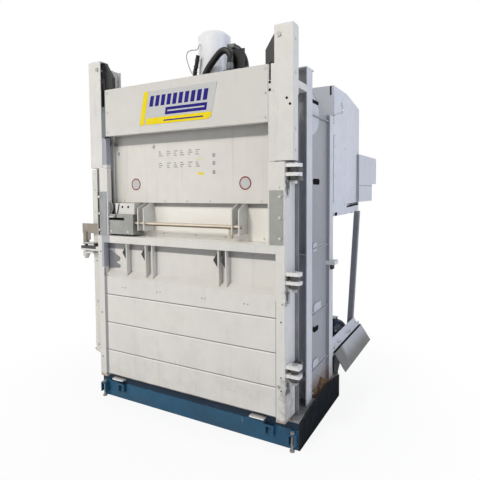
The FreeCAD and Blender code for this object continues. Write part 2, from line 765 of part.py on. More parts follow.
def build_posts():
    covers = []
    arms = []
    strips = []
    guards = []
    guides = []
    for side, word in ((-1, "left"), (1, "right")):
        outer = post_outer
        t = cover_sheet
        section = [(post_inner, 0), (outer, 0), (outer, post_depth), (outer - t, post_depth),
                   (outer - t, t), (post_inner + t, t), (post_inner + t, post_depth),
                   (post_inner, post_depth)]
        body = folded("post_cover_" + word, "XY", [(side * x, y) for x, y in section],
                      post_bottom, post_top - t)
        pad(body, "XY", [(side * post_inner, 0), (side * outer, 0), (side * outer, post_depth),
                         (side * post_inner, post_depth)], post_top - t, post_top)
        guard_foot = header_top + touch
        pocket(body, "YZ", [(t, guard_foot), (post_depth + 1, guard_foot), (post_depth + 1, post_top - t),
                            (t, post_top - t)], *span(side, post_inner - 1, post_inner + t))
        bore(body, "XZ", (side * axle_x, axle_z), axle_radius + touch, -1, t + 1, hole_sides)
        covers.append(body)

        guard_back = guide_front - touch
        rise = guard_foot + guard_rise
        peak = post_top - t
        outline = [(side * guard_half, guard_foot), (side * (post_inner - 2), guard_foot),
                   (side * (post_inner - 2), peak), (side * guard_half, rise)]
        guard = folded("guard_" + word, "XZ", outline, guard_front, guard_back)
        wall = as_size(3)
        hollow = [(side * (guard_half + wall), guard_foot - 1), (side * (post_inner + wall), guard_foot - 1),
                  (side * (post_inner + wall), peak - wall), (side * (guard_half + wall), rise - wall)]
        pocket(guard, "XZ", hollow, guard_front + wall, guard_back + 1)
        guards.append(guard)

        strip_in = header_half + touch
        strip_out = post_inner - touch
        strip_back = jamb_depth
        section = [(strip_in, 2), (strip_out, 2), (strip_out, 6), (strip_in + t, 6),
                   (strip_in + t, strip_back), (strip_in, strip_back)]
        strip = folded("strip_" + word, "XY", [(side * x, y) for x, y in section],
                       post_bottom, strip_top)
        strips.append(strip)

        inner = as_size(chamber_half)
        lip = flap_back + touch
        section = [(inner, guide_front), (guide_outer, guide_front), (guide_outer, chamber_front),
                   (inner, chamber_front), (inner, lip), (groove_x, lip),
                   (groove_x, flap_front - touch), (inner, flap_front - touch)]
        guides.append(folded("guide_" + word, "XY", [(side * x, y) for x, y in section],
                             door_line + 7, post_top - 60))

        closing = block("arm_plate_" + word, span(side, post_inner, post_outer),
                        (post_depth, post_depth + plate), (arm_low - 60, post_top - t))
        beam = block("arm_beam_" + word, span(side, column_half - 57, column_half + 3),
                     (post_depth + plate, column_front), (arm_low, arm_low + 46))
        hole = rod("arm_hole_" + word, "Y", (side * axle_x, axle_z), axle_radius + touch,
                   post_depth - 1, post_depth + plate + 1, 16)
        arms.append(cut("arm_" + word, join("arm_body_" + word, [closing, beam]), [hole]))
    keep(group("post_covers", covers))
    keep(group("slot_strips", strips))
    keep(group("pulley_guards", guards))
    keep(group("flap_guides", guides))
    keep(group("post_arms", arms))


def build_pulleys():
    axles = []
    for side, word in ((-1, "left"), (1, "right")):
        x = side * axle_x
        wide = belt_width + 2 * touch
        face = belt_front - touch
        drum = rod("pulley_" + word + "_drum", "Y", (x, axle_z), pulley_radius - touch,
                   face - pulley_edge, face + wide + pulley_edge, 36)
        hub = rod("pulley_" + word + "_bore", "Y", (x, axle_z), axle_radius + hair,
                  face - pulley_edge - 1, face + wide + pulley_edge + 1)
        keep(cut("pulley_" + word, drum, [hub]))

        behind = post_depth + plate + touch
        shank = rod("axle_" + word + "_shank", "Y", (x, axle_z), axle_radius, -touch - 4, behind + 4, 16)
        head = rod("axle_" + word + "_head", "Y", (x, axle_z), axle_radius * 1.7, -9, -touch, 6)
        nut = rod("axle_" + word + "_nut", "Y", (x, axle_z), axle_radius * 1.7, behind, behind + 8, 6)
        axles.append(join("axle_" + word, [shank, head, nut]))

        inner = axle_x - pulley_radius
        outer = axle_x + pulley_radius
        over = pulley_radius + belt_thick
        low = lug_top + touch
        weight_top = axle_z - weight_drop
        section = [(side * (inner - belt_thick), low), (side * inner, low), (side * inner, axle_z),
                   (side * axle_x, axle_z + pulley_radius),
                   (side * outer, axle_z), (side * outer, weight_top + touch),
                   (side * (outer + belt_thick), weight_top + touch),
                   (side * (outer + belt_thick), axle_z), (side * axle_x, axle_z + over),
                   (side * (inner - belt_thick), axle_z)]
        keep(folded("belt_" + word, "XZ", section, belt_front, belt_back,
                    {2: (pulley_radius, -side), 3: (pulley_radius, -side),
                     7: (over, side), 8: (over, side)}))

        middle = outer + belt_thick / 2
        half = weight_width / 2
        keep(block("counterweight_" + word, span(side, middle - half, middle + half),
                   (belt_front - 25, belt_back), (weight_top - weight_height, weight_top)))
    keep(group("pulley_axles", axles))


# ---- flap with its lock -------------------------------------------------------------
def build_flap():
    front = flap_front
    low = flap_front + flap_step
    t = flap_sheet
    back = flap_back
    step = flap_step_height
    body = folded("flap_panel", "YZ",
                  [(low, flap_bottom), (low, step), (front, step), (front, flap_top), (back, flap_top),
                   (back, flap_top - t), (front + t, flap_top - t), (front + t, step + t),
                   (low + t, step + t), (low + t, flap_bottom)],
                  -flap_half, flap_half)
    for side in (-1, 1):
        pad(body, "YZ", [(front, flap_bottom), (back, flap_bottom), (back, flap_top), (front, flap_top)],
            *span(side, flap_half - t, flap_half))
    keep(body)

    lugs = []
    for side, word in ((-1, "left"), (1, "right")):
        edge = chamber_half - 1
        reach = axle_x - pulley_radius + 4
        low_z = lug_top - 20
        foot = block("lug_foot_" + word, span(side, edge - 25, edge), (belt_front - 1, flap_front - touch),
                     (low_z, lug_top))
        tongue = block("lug_tongue_" + word, span(side, edge - 25, reach), (belt_front - 1, belt_back + 1),
                       (low_z, lug_top))
        lugs.append(join("lug_" + word, [foot, tongue]))
    keep(group("belt_lugs", lugs))

    brackets = []
    face = flap_front + flap_step - touch
    for word, x in (("left", -bracket_left), ("right", bracket_right)):
        half = bracket_width / 2
        section = [(x - half, bracket_front), (x - half + bracket_plate, bracket_front),
                   (x - half + bracket_plate, face - bracket_plate),
                   (x + half - bracket_plate, face - bracket_plate),
                   (x + half - bracket_plate, bracket_front), (x + half, bracket_front),
                   (x + half, face), (x - half, face)]
        body = folded("bracket_" + word, "XY", section, bracket_low, flap_step_height)
        bore(body, "YZ", (bar_front, bar_height), bar_radius + hair, x - half - 1, x + half + 1)
        slot_top = flap_step_height - 40
        pocket(body, "YZ", [(bracket_front - 1, slot_top), (face - 30, flap_step_height + 1),
                            (bracket_front - 1, flap_step_height + 1)], x - half - 1, x + half + 1)
        brackets.append(body)
    keep(group("bar_brackets", brackets))

    housing = block("lock_box_body", (-box_left, -box_right), (box_front, face), (box_bottom, box_top))
    hollow = block("lock_box_inside", (-box_left + 4, -box_right - 4), (box_front + 4, face + 1),
                   (box_bottom + 4, box_top - 4))
    hole = rod("lock_box_hole", "X", (bar_front, bar_height), bar_radius + hair,
               -box_right - 5, -box_right + 1)
    slot = block("lock_box_slot", (-box_left - 1, -box_left + 95), (box_front - 1, box_front + 5),
                 (box_top - 34, box_top - 26))
    keep(cut("lock_box", housing, [hollow, hole, slot]))

    edge = as_size(14)
    left = -box_left + 54
    cover = folded("switch_cover", "YZ",
                   [(box_front + edge, box_top + touch), (face, box_top + touch),
                    (face, flap_step_height - 2), (box_front + edge, flap_step_height - 2)],
                   left, -box_right + 4)
    keep(cover)

    shaft = rod("lock_bar_shaft", "X", (bar_front, bar_height), bar_radius, -bar_left, bar_right)
    cam_x = bracket_right - bracket_width / 2 - 26
    cam = folded("lock_bar_cam", "YZ",
                 [(bar_front - bar_radius, bar_height), (bar_front + bar_radius, bar_height),
                  (bar_front + 20, bar_height - 72), (bar_front + 8, bar_height - 80),
                  (bar_front - bar_radius, bar_height - 30)], cam_x, cam_x + 18)
    keep(join("lock_bar", [shaft, cam]))


# ---- door ---------------------------------------------------------------------------
def build_door():
    t = door_sheet
    face_half = door_half - stile_width - touch
    recess_low = panel_top + recess_slope
    flange_low = door_line - door_flange
    shelf = flap_front - 4
    outline = [(0, panel_bottom)]
    for fold in (fold_low, fold_middle, fold_high):
        outline += [(0, fold - fold_width), (fold_depth, fold), (0, fold + fold_width)]
    outline += [(0, panel_top), (recess_depth, recess_low), (recess_depth, flange_low), (0, flange_low),
                (0, door_line), (shelf, door_line), (shelf, door_line - t), (t, door_line - t),
                (t, flange_low + t), (recess_depth + t, flange_low + t), (recess_depth + t, recess_low - 3),
                (t, panel_top - 4), (t, panel_bottom)]
    keep(folded("door_panel", "YZ", outline, -face_half, face_half))

    inner_face = door_depth - back_plate
    keep(block("door_back_plate", (-face_half, face_half), (inner_face, door_depth),
               (door_bottom, door_line - touch)))

    s = stile_sheet
    jamb_in = chamber_half
    sides = []
    for side, word in ((-1, "left"), (1, "right")):
        inner = door_half - stile_width
        section = [(inner, 0), (door_half, 0), (door_half, door_depth), (inner, door_depth),
                   (inner, door_depth - s), (door_half - s, door_depth - s), (door_half - s, s),
                   (inner, s)]
        body = folded("door_side_" + word, "XY", [(side * x, y) for x, y in section],
                      door_bottom, door_top)
        clear_back = [(inner - 1, door_depth - s), (door_half - s, door_depth - s),
                      (door_half - s, door_depth + 1), (inner - 1, door_depth + 1)]
        pocket(body, "XY", [(side * x, y) for x, y in clear_back], door_line, door_top + 1)
        upper = [(jamb_in, 0), (inner + touch, 0), (inner + touch, s), (jamb_in + s, s),
                 (jamb_in + s, jamb_depth), (jamb_in, jamb_depth)]
        pad(body, "XY", [(side * x, y) for x, y in upper], door_line, door_top)
        web = [(inner, s), (inner + s, s), (inner + s, door_depth - s), (inner, door_depth - s)]
        pad(body, "XY", [(side * x, y) for x, y in web], door_bottom, door_line)
        sides.append(body)
    tongue = [(-door_half, latch_back - 32), (-door_half, latch_back + 15),
              (latch_x + 14, latch_back + 15), (latch_x + 14, latch_back),
              (latch_x, latch_back - 14), (latch_x - 14, latch_back), (latch_x - 14, latch_back + 15),
              (latch_x - 28, latch_back + 15), (latch_x - 28, latch_back - 32)]
    low = latch_height + latch_lug + 12
    pad(sides[0], "XY", tongue, low, low + 36, {3: (as_size(14), -1), 4: (as_size(14), -1)})
    keep(group("door_sides", sides))

    ribs = []
    deep = recess_depth - touch
    for number, x in enumerate((-525, -335, -272, 306, 366)):
        outline = [(12, flange_low - touch), (deep, flange_low - touch), (deep, recess_low + 1),
                   (30, panel_top + 30 * 0.76 + 4), (12, panel_top + 22)]
        ribs.append(folded("rib_" + str(number), "YZ", outline, as_size(x), rib_plate + x))
    root = 2 - face_half
    tip = root + hook_reach
    outline = [(root, hook_low), (tip - 8, hook_low + 12), (tip, hook_low + 30), (tip - 52, hook_low + 54),
               (tip - 14, hook_low + 66), (tip, hook_low + 84), (tip - 6, hook_low + 95),
               (root + 28, hook_low + 138), (root, hook_low + 143)]
    ribs.append(folded("strap_hooks", "XZ", outline, deep - hook_plate, deep))
    keep(group("door_ribs", ribs))

    plates = []
    bolts = []
    for side, word in ((-1, "left"), (1, "right")):
        inner = chamber_half + 12
        x = span(side, inner, inner + plate_width)
        plates.append(block("guide_plate_" + word, x, (-plate_thick - touch, -touch),
                            (door_line + 4, door_line + 4 + plate_height)))
        for number in range(3):
            z = door_line + 44 + number * (plate_height - 80) / 2
            middle = side * (inner + plate_width - 20)
            bolts.append(rod("bolt_" + word + str(number), "Y", (middle, z), bolt_head,
                             -plate_thick - touch - bolt_head * 0.7, -plate_thick - touch, 6))
    keep(group("guide_plates", plates))
    keep(group("plate_bolts", bolts))


# ---- hinges and latch ---------------------------------------------------------------
def build_hinges():
    lugs = []
    knuckles = []
    pins = []
    arm_in = door_half + 8
    arm_out = hinge_x + 6
    for word, top in (("top", hinge_top), ("middle", hinge_mid), ("bottom", hinge_low)):
        level = top
        for number in (1, 2):
            low = level - lug_plate
            plan = [(door_half, hinge_back - 32), (hinge_x + 38, hinge_back - 32),
                    (hinge_x + 44, hinge_back - 20), (hinge_x + 44, hinge_back + 20),
                    (hinge_x + 38, hinge_back + 32), (door_half, hinge_back + 32)]
            lug = folded("lug_" + word + str(number), "XY", plan, low, level)
            bore(lug, "XY", (hinge_x, hinge_back), hinge_pin + hair, low - 1, level + 1)
            lugs.append(lug)
            knuckle_top = low - touch
            knuckle_low = knuckle_top - knuckle_plate
            corner = hinge_eye * 0.42
            plan = [(arm_in, chamber_front), (arm_in, hinge_back), (hinge_x - hinge_eye, hinge_back),
                    (hinge_x - hinge_eye, hinge_back - corner), (hinge_x - corner, hinge_back - hinge_eye),
                    (hinge_x + corner, hinge_back - hinge_eye), (hinge_x + hinge_eye, hinge_back - corner),
                    (hinge_x + hinge_eye, hinge_back + corner), (arm_out, hinge_back + hinge_eye * 1.8),
                    (arm_out, chamber_front)]
            knuckle = folded("knuckle_" + word + str(number), "XY", plan, knuckle_low, knuckle_top)
            bore(knuckle, "XY", (hinge_x, hinge_back), hinge_pin + hair, knuckle_low - 1,
                 knuckle_top + 1, hole_sides)
            knuckles.append(knuckle)
            level = knuckle_low - hinge_play
        bottom = level + hinge_play
        shank = rod("pin_shank_" + word, "Z", (hinge_x, hinge_back), hinge_pin, bottom - 4, top + 4, 16)
        cap = rod("pin_cap_" + word, "Z", (hinge_x, hinge_back), hinge_pin * 1.6, top + touch, top + 8, 6)
        nut = rod("pin_nut_" + word, "Z", (hinge_x, hinge_back), hinge_pin * 1.6, bottom - 20,
                  bottom - touch, 6)
        pins.append(join("hinge_pin_" + word, [shank, cap, nut]))
    keep(group("door_hinge_lugs", lugs))
    keep(group("hinge_knuckles", knuckles))
    keep(group("hinge_pins", pins))


def build_latch():
    post_in = latch_post_out - latch_post_width
    section = [(-latch_post_out, latch_post_front), (-post_in, latch_post_front),
               (-post_in, latch_post_front + plate), (-latch_post_out + plate, latch_post_front + plate),
               (-latch_post_out + plate, column_front + 40), (-column_half, column_front + 40),
               (-column_half, column_front + 40 + plate), (-latch_post_out, column_front + 40 + plate)]
    post = folded("latch_upright", "XY", section, latch_post_low, post_bottom - 6)
    foot = latch_post_low
    outline = [(-latch_post_out - 14, foot + 12), (-latch_post_out - 14, foot + 5),
               (-latch_post_out, foot - 9), (-post_in, foot - 20), (-post_in, foot), (-latch_post_out, foot)]
    pad(post, "XZ", outline, latch_post_front, column_front + 40 + plate)

    lugs = []
    upper = latch_height + latch_lug + latch_gap
    for word, low in (("lower", latch_height), ("upper", upper)):
        plan = [(latch_x, latch_back - 20), (-latch_post_out + 38, latch_back - 20),
                (-latch_post_out + 38, latch_post_front), (-latch_post_out, latch_post_front),
                (-latch_post_out, latch_post_front + 20), (latch_x, latch_back + 32),
                (latch_x - 34, latch_back + 20), (latch_x - 34, latch_back - 8)]
        lug = folded("latch_lug_" + word, "XY", plan, low, low + latch_lug)
        bore(lug, "XY", (latch_x, latch_back), latch_pin + hair, low - 1, low + latch_lug + 1, hole_sides)
        lugs.append(lug)

    top = upper + latch_lug
    foot = latch_height - touch
    outline = [(0, foot - 44), (latch_pin * 1.2, foot - 44), (latch_pin * 2.4, foot - 12),
               (latch_pin * 2.4, foot), (latch_pin, foot), (latch_pin, lever_low - touch),
               (0, lever_low - touch)]
    pin = turned("latch_pin", outline, latch_x, latch_back, zero)
    keep(group("latch_post", [post, pin] + lugs))

    hub = rod("lever_hub", "Z", (latch_x, latch_back), latch_pin * 2, top + touch, lever_low + 12, 8)
    hole = rod("lever_bore", "Z", (latch_x, latch_back), latch_pin + hair, top, lever_low)
    web = block("lever_web", (latch_x - 24, latch_x + 46),
                (latch_back - lever_plate / 2, latch_back + lever_plate / 2), (top + 22, lever_low + 8))
    flag = block("lever_flag", (latch_x - 36, -door_half - 11),
                 (latch_back - lever_plate / 2, latch_back + lever_plate / 2), (lever_low, lever_top))
    keep(cut("latch_lever", join("lever_body", [hub, web, flag]), [hole]))


# ---- small parts on the base --------------------------------------------------------
def build_base_fittings():
    screws = []
    brackets = []
    for side, word in ((-1, "left"), (1, "right")):
        x = (base_half - screw_inset) * side
        mid_y = base_front - 27
        frame_low = as_size(40)
        body = folded("screw_bracket_" + word, "YZ",
                      [(mid_y - 20, 108), (base_front, 108), (base_front, 116), (mid_y - 20, 116)],
                      x - 24, x + 24)
        for shift in (-24, 18):
            pad(body, "YZ", [(mid_y - 20, frame_low), (base_front, frame_low), (base_front, 116),
                             (mid_y - 20, 116)], x + shift, x + shift + 6)
        bore(body, "XY", (x, mid_y), as_size(8.05), 100, 120, hole_sides)
        brackets.append(body)
        shank = rod("screw_shank_" + word, "Z", (x, mid_y), as_size(8), 8, 122, 16)
        foot = rod("screw_foot_" + word, "Z", (x, mid_y), as_size(18), 0, 10, 6)
        nut = rod("screw_nut_" + word, "Z", (x, mid_y), as_size(15), 116.3, 128, 6)
        screws.append(join("screw_" + word, [shank, foot, nut]))

        x = (base_half - clamp_inset) * side
        clamp = folded("clamp_" + word, "XZ",
                       [(x - 34, 66), (x - 22, 66), (x - 22, 118), (x + 22, 118), (x + 22, 66),
                        (x + 34, 66), (x + 34, 134), (x - 34, 134)],
                       base_front - 26, base_front)
        brackets.append(clamp)
    keep(group("levelling_screws", screws))
    keep(group("base_brackets", brackets))
    pads = []
    for side, x in ((-1, 672), (1, 580)):
        pads.append(block("door_pad_" + str(side + 1), span(side, as_size(x - 54), as_size(x + 54)),
                          (base_front - 46, base_front), (base_height - 16, base_height - 6)))
    keep(group("door_pads", pads))


# ---- rear loading bay ---------------------------------------------------------------
def build_hood():
    def plan(inset):
        back = hood_rear - inset
        front = hood_front + inset
        return [(inset - hood_half, front), (hood_half - inset, front), (hood_half - inset, hood_fold),
                (hood_rear_half - inset, back), (inset - hood_rear_half, back),
                (inset - hood_half, hood_fold)]

    t = hood_sheet
    body = folded("hood", "XY", plan(zero), hood_low, hood_top)
    pocket(body, "XY", plan(t), hood_low - 1, hood_top - t)
    opening = (-chamber_half, chamber_half)
    pocket(body, "XZ", [(opening[0], hood_low - 1), (opening[1], hood_low - 1), (opening[1], load_top),
                        (opening[0], load_top)], hood_front - 1, hood_front + t + 1)
    for side in (-1, 1):
        slot_low = hood_low + 66
        pocket(body, "YZ", [(hood_fold + 169, slot_low), (hood_rear - 106, slot_low),
                            (hood_rear - 106, slot_low + 15), (hood_fold + 169, slot_low + 15)],
               *span(side, hood_rear_half - 5, hood_half))
    keep(body)

    hangers = []
    for side in (-1, 1):
        for number, low in enumerate((1500, 2120)):
            hangers.append(block("hood_hanger_" + str(side + 1) + str(number),
                                 span(side, hood_half - 20, column_half - plate - touch),
                                 (web_back + plate + touch, hood_front - touch), (low, low + 80)))
    keep(group("hood_hangers", hangers))

    out = hood_half.value + 4 + touch.value
    front = hood_front.value
    keep(tube("hood_rod", [(out, front - 48, 2249), (out, front + 60, 2300), (out, front + 262, 2340),
                           (out, front + 215, 2416)], as_size(4), 4))

    inner = cabinet_out - cabinet_width
    cab = folded("rear_cabinet", "YZ",
                 [(hood_rear + touch, cabinet_low), (cabinet_step, cabinet_low),
                  (cabinet_step, cabinet_mid), (cabinet_rear, cabinet_mid), (cabinet_rear, cabinet_top),
                  (hood_rear + touch, cabinet_top)], inner, cabinet_out)
    pad(cab, "YZ", [(cabinet_start, cabinet_low), (hood_rear + touch, cabinet_low),
                    (hood_rear + touch, cabinet_top), (cabinet_start, cabinet_top)],
        cabinet_out - 9, cabinet_out)
    wall = as_size(4)
    start = hood_rear + touch + wall
    pocket(cab, "YZ", [(start, cabinet_low + wall), (cabinet_step - wall, cabinet_low + wall),
                       (cabinet_step - wall, cabinet_mid + wall), (cabinet_rear - wall, cabinet_mid + wall),
                       (cabinet_rear - wall, cabinet_top - wall), (start, cabinet_top - wall)],
           inner + wall, cabinet_out - wall)
    keep(cab)


def build_bay():
    rails = []
    flares = []
    struts = []
    blocks = []
    brace_low = rail_top
    for side, word in ((-1, "left"), (1, "right")):
        section = [(rail_inner, rail_low), (rail_out - 6, rail_low), (rail_out, rail_low + 40),
                   (rail_out - 27, rail_low + 62), (rail_out - 29, rail_low + 67),
                   (rail_inner + 3, rail_top), (rail_inner, rail_top)]
        rails.append(folded("rail_" + word, "XZ", [(side * x, z) for x, z in section],
                            column_back + touch, rail_end))

        t = flare_sheet
        section = [(rail_out + touch, flare_top + 3), (flare_top_out, flare_top),
                   (flare_out, flare_low), (flare_out - t, flare_low - 2),
                   (flare_top_out - t, flare_top - t), (rail_out + touch, flare_top - t)]
        shifted = [(side * x, z) for x, z in section]
        flares.append(folded("flare_" + word, "XZ", shifted, flare_start, flare_end))

        outline = [(strut_foot, brace_low - 60), (strut_foot + strut_size, brace_low - 60),
                   (strut_head + strut_size, hood_low - touch), (strut_head, hood_low - touch)]
        struts.append(folded("strut_" + word, "YZ", outline,
                             *span(side, rail_inner - touch - strut_size, rail_inner - touch)))

        blocks.append(folded("buffer_" + word, "YZ",
                             [(base_back + 4, rail_low - touch), (base_back + 4, 110),
                              (base_back + 62, 92), (column_back + 290, 230),
                              (column_back + 290, rail_low - touch)],
                             *span(side, rail_out - 60, rail_out - 14)))
    keep(group("side_rails", rails))
    keep(group("flared_guards", flares))
    keep(group("hood_struts", struts))
    keep(group("guard_buffers", blocks))

    y0 = motor_front
    y1 = motor_front + motor_length
    centre = (motor_out, motor_height)
    core = rod("motor_core", "Y", centre, motor_radius - fin_depth, y0, y1 - cowl_length, 24)
    cowl = rod("motor_cowl", "Y", centre, motor_radius, y1 - cowl_length, y1, 24)
    fins = doc.addObject("PartDesign::Body", "motor_fins")
    for number in range(fin_pairs):
        angle = math.pi * (number + 0.5) / fin_pairs
        along = (motor_radius * math.cos(angle), motor_radius * math.sin(angle))
        aside = (-fin_plate / 2 * math.sin(angle), fin_plate / 2 * math.cos(angle))
        corners = []
        for way, turn in ((1, 1), (-1, 1), (-1, -1), (1, -1)):
            corners.append((motor_out + along[0] * way + aside[0] * turn,
                            motor_height + along[1] * way + aside[1] * turn))
        pad(fins, "XZ", corners, y0 + bell_length, y1 - cowl_length)
    sole = motor_height - motor_radius - touch
    foot = block("motor_foot", (motor_out - 70, motor_out + 70),
                 (y0 + bell_length + 20, y1 - cowl_length - 20), (sole, sole + fin_depth * 2))
    keep(join("drive_motor", [core, cowl, foot, fins]))

    edge = rail_inner - touch
    keep(folded("motor_shelf", "XZ",
                [(motor_out - 105, sole - 12), (edge, sole - 12), (edge, rail_top - 20),
                 (edge - 8, rail_top - 20), (edge - 8, sole), (motor_out - 105, sole)], y0, y1))


# ---- hydraulics and cables on the head ----------------------------------------------
def build_hydraulics():
    foot = mount_top + touch
    rear = press_back - valve_back
    manifold = block("manifold", (valve_inner, valve_outer), (head_front + 16, rear), (foot, valve_top))
    side_block = block("side_block", (side_valve_inner, valve_outer), (rear, press_back + 14),
                       (foot, valve_top))
    shield = block("hose_shield", (shield_inner, valve_outer), (rear - plate, rear), (foot, shield_top))
    keep(join("valve_block", [manifold, side_block, shield]))
    y = press_back.value - 160
    low = (foot + barrel_flange + touch).value
    port = (valve_top + touch).value
    front = tube("hose_front", [(0, y, low), (0, y, 2530), (38, y, 2600), (96, y, 2660), (158, y + 1, 2717),
                                (208, y + 2, 2713), (240, y + 2, 2674), (232, y + 2, 2616),
                                (232, y + 2, port)], as_size(25))
    y = press_back.value
    side = tube("hose_side", [(131, y, 2790), (178, y, 2790), (226, y - 2, 2758), (264, y - 6, 2706),
                              (284, y - 11, 2656), (290, y - 14, 2610), (290, y - 14, port)], as_size(21))
    keep(group("press_hoses", [front, side]))
    keep(tube("cable_bundle", [(-78, 336, low), (-78, 336, 2520), (-84, 333, 2590), (-66, 338, 2656),
                               (-54, 336, 2716)], as_size(16)))
    keep(tube("switch_cables", [(-672, 60, 1508.3), (-672, 60, 1580), (-630.3, 60, 1580)], as_size(4), 4))


build_base()
build_columns()
build_chamber()
build_head()
build_platen()
build_header()
build_posts()
build_pulleys()
build_flap()
build_door()
build_hinges()
build_latch()
build_base_fittings()
build_hood()
build_bay()
build_hydraulics()
doc.recompute()

# ---- checks and output --------------------------------------------------------------
faults = [thing.Name for thing in doc.Objects if "Invalid" in thing.State or "Error" in thing.State]
for node in nodes:
    shape = node.Shape
    if shape.isNull() or not shape.isValid() or not shape.Solids:
        faults.append(node.Label)
if faults:
    raise SystemExit("not built: " + ", ".join(faults))
labels = [node.Label for node in nodes]
if len(set(labels)) != len(labels) or len(labels) > 60:
    raise SystemExit("node names repeat or are too many: " + str(len(labels)))
os.makedirs("parts", exist_ok=True)
for node in nodes:
    node.Shape.exportStep("parts/" + node.Label + ".step")
print(len(labels), "nodes written")
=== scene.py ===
import bmesh
import bpy
import math
from mathutils import Matrix, Vector, noise


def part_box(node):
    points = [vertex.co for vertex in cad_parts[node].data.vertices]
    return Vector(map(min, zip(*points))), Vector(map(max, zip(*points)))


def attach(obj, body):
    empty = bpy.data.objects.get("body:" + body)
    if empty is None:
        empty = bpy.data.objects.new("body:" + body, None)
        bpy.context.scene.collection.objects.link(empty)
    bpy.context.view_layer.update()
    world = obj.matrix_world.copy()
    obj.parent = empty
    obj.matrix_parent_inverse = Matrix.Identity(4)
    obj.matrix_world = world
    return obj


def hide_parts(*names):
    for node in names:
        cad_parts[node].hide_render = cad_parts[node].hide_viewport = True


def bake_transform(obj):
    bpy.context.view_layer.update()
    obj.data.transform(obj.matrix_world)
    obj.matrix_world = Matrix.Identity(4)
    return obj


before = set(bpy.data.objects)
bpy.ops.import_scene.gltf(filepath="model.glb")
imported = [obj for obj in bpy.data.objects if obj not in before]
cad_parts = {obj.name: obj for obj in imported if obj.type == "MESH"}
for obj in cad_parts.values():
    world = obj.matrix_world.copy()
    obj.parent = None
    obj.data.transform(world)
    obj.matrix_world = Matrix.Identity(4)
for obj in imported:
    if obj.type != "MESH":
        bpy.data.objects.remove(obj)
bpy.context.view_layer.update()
scene = bpy.context.scene
scene.view_settings.view_transform = "Standard"
frontPlane = -0.490  # the door's front, counted from the press axis


def fromFront(deep):
    return frontPlane + deep  # metres behind the door's front


def edges(node):
    low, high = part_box(node)
    return Vector(low), Vector(high)


# focal, frame and axisAbove are in pixels of the square frame, sensor in mm, the angles in degrees
cameraForm = {
    "place": (1.875, fromFront(-2.495), 1.680),
    "turn": 29.03,
    "down": 3.12,
    "roll": -0.40,
    "focal": 438.7,
    "frame": 480,
    "axisAbove": 25,
    "sensor": 36,
}


def makeCamera(s):
    data = bpy.data.cameras.new("photoCamera")
    data.sensor_width = s["sensor"]
    data.lens = s["focal"] / s["frame"] * s["sensor"]
    data.shift_y = -s["axisAbove"] / s["frame"]
    cam = bpy.data.objects.new("photoCamera", data)
    scene.collection.objects.link(cam)
    turn, down, roll = (math.radians(s[key]) for key in ("turn", "down", "roll"))
    right = Vector((math.cos(turn), math.sin(turn), 0))
    ahead = Vector((-math.sin(turn) * math.cos(down), math.cos(turn) * math.cos(down), -math.sin(down)))
    up = right.cross(ahead)
    across = right * math.cos(roll) + up * math.sin(roll)
    upward = up * math.cos(roll) - right * math.sin(roll)
    rows = [(across[i], upward[i], -ahead[i], s["place"][i]) for i in range(3)]
    cam.matrix_world = Matrix(rows + [(0, 0, 0, 1)])
    scene.camera = cam


nodeStep = 180  # the nodes of a tree stand in a row, in the order they are made


def addNode(tree, kind, feeds=None, **settings):
    node = tree.nodes.new(kind)
    node.location.x = nodeStep * len(tree.nodes)
    for key, value in settings.items():
        setattr(node, key, value)
    for key, value in (feeds or {}).items():
        socket = node.inputs[key]
        if isinstance(value, bpy.types.NodeSocket):
            tree.links.new(value, socket)
        elif value is not None:
            socket.default_value = (*value, 1) if socket.type == "RGBA" and len(value) == 3 else value
    return node


def calc(tree, operation, a, b=None, clamp=False):
    return addNode(tree, "ShaderNodeMath", {0: a, 1: b}, operation=operation, use_clamp=clamp).outputs[0]


def times(tree, a, b, clamp=False):
    return calc(tree, "MULTIPLY", a, b, clamp)


def plus(tree, a, b, clamp=False):
    return calc(tree, "ADD", a, b, clamp)


def mapTo(tree, value, low, high, outLow=0, outHigh=1):
    feeds = {"Value": value, "From Min": low, "From Max": high, "To Min": outLow, "To Max": outHigh}
    return addNode(tree, "ShaderNodeMapRange", feeds, interpolation_type="SMOOTHSTEP").outputs["Result"]


def noiseAt(tree, vector, scale, detail=4, rough=0.55):
    feeds = {"Vector": vector, "Scale": scale, "Detail": detail, "Roughness": rough}
    return addNode(tree, "ShaderNodeTexNoise", feeds).outputs["Fac"]


def stretched(tree, vector, scale):
    return addNode(tree, "ShaderNodeMapping", {"Vector": vector, "Scale": scale}).outputs[0]


def blendColor(tree, factor, a, b):
    mix = addNode(tree, "ShaderNodeMix", {0: factor, 6: a, 7: b}, data_type="RGBA")
    return mix.outputs[2]  # sockets 6, 7 and 2 are the ones for colour


def mixShader(tree, factor, a, b):
    return addNode(tree, "ShaderNodeMixShader", {0: factor, 1: a.outputs[0], 2: b.outputs[0]}).outputs[0]


def objectPlace(tree):
    return addNode(tree, "ShaderNodeTexCoord").outputs["Object"]


def newMaterial(name):
    mat = bpy.data.materials.new(name)
    mat.use_nodes = True
    mat.node_tree.nodes.clear()
    return mat, mat.node_tree


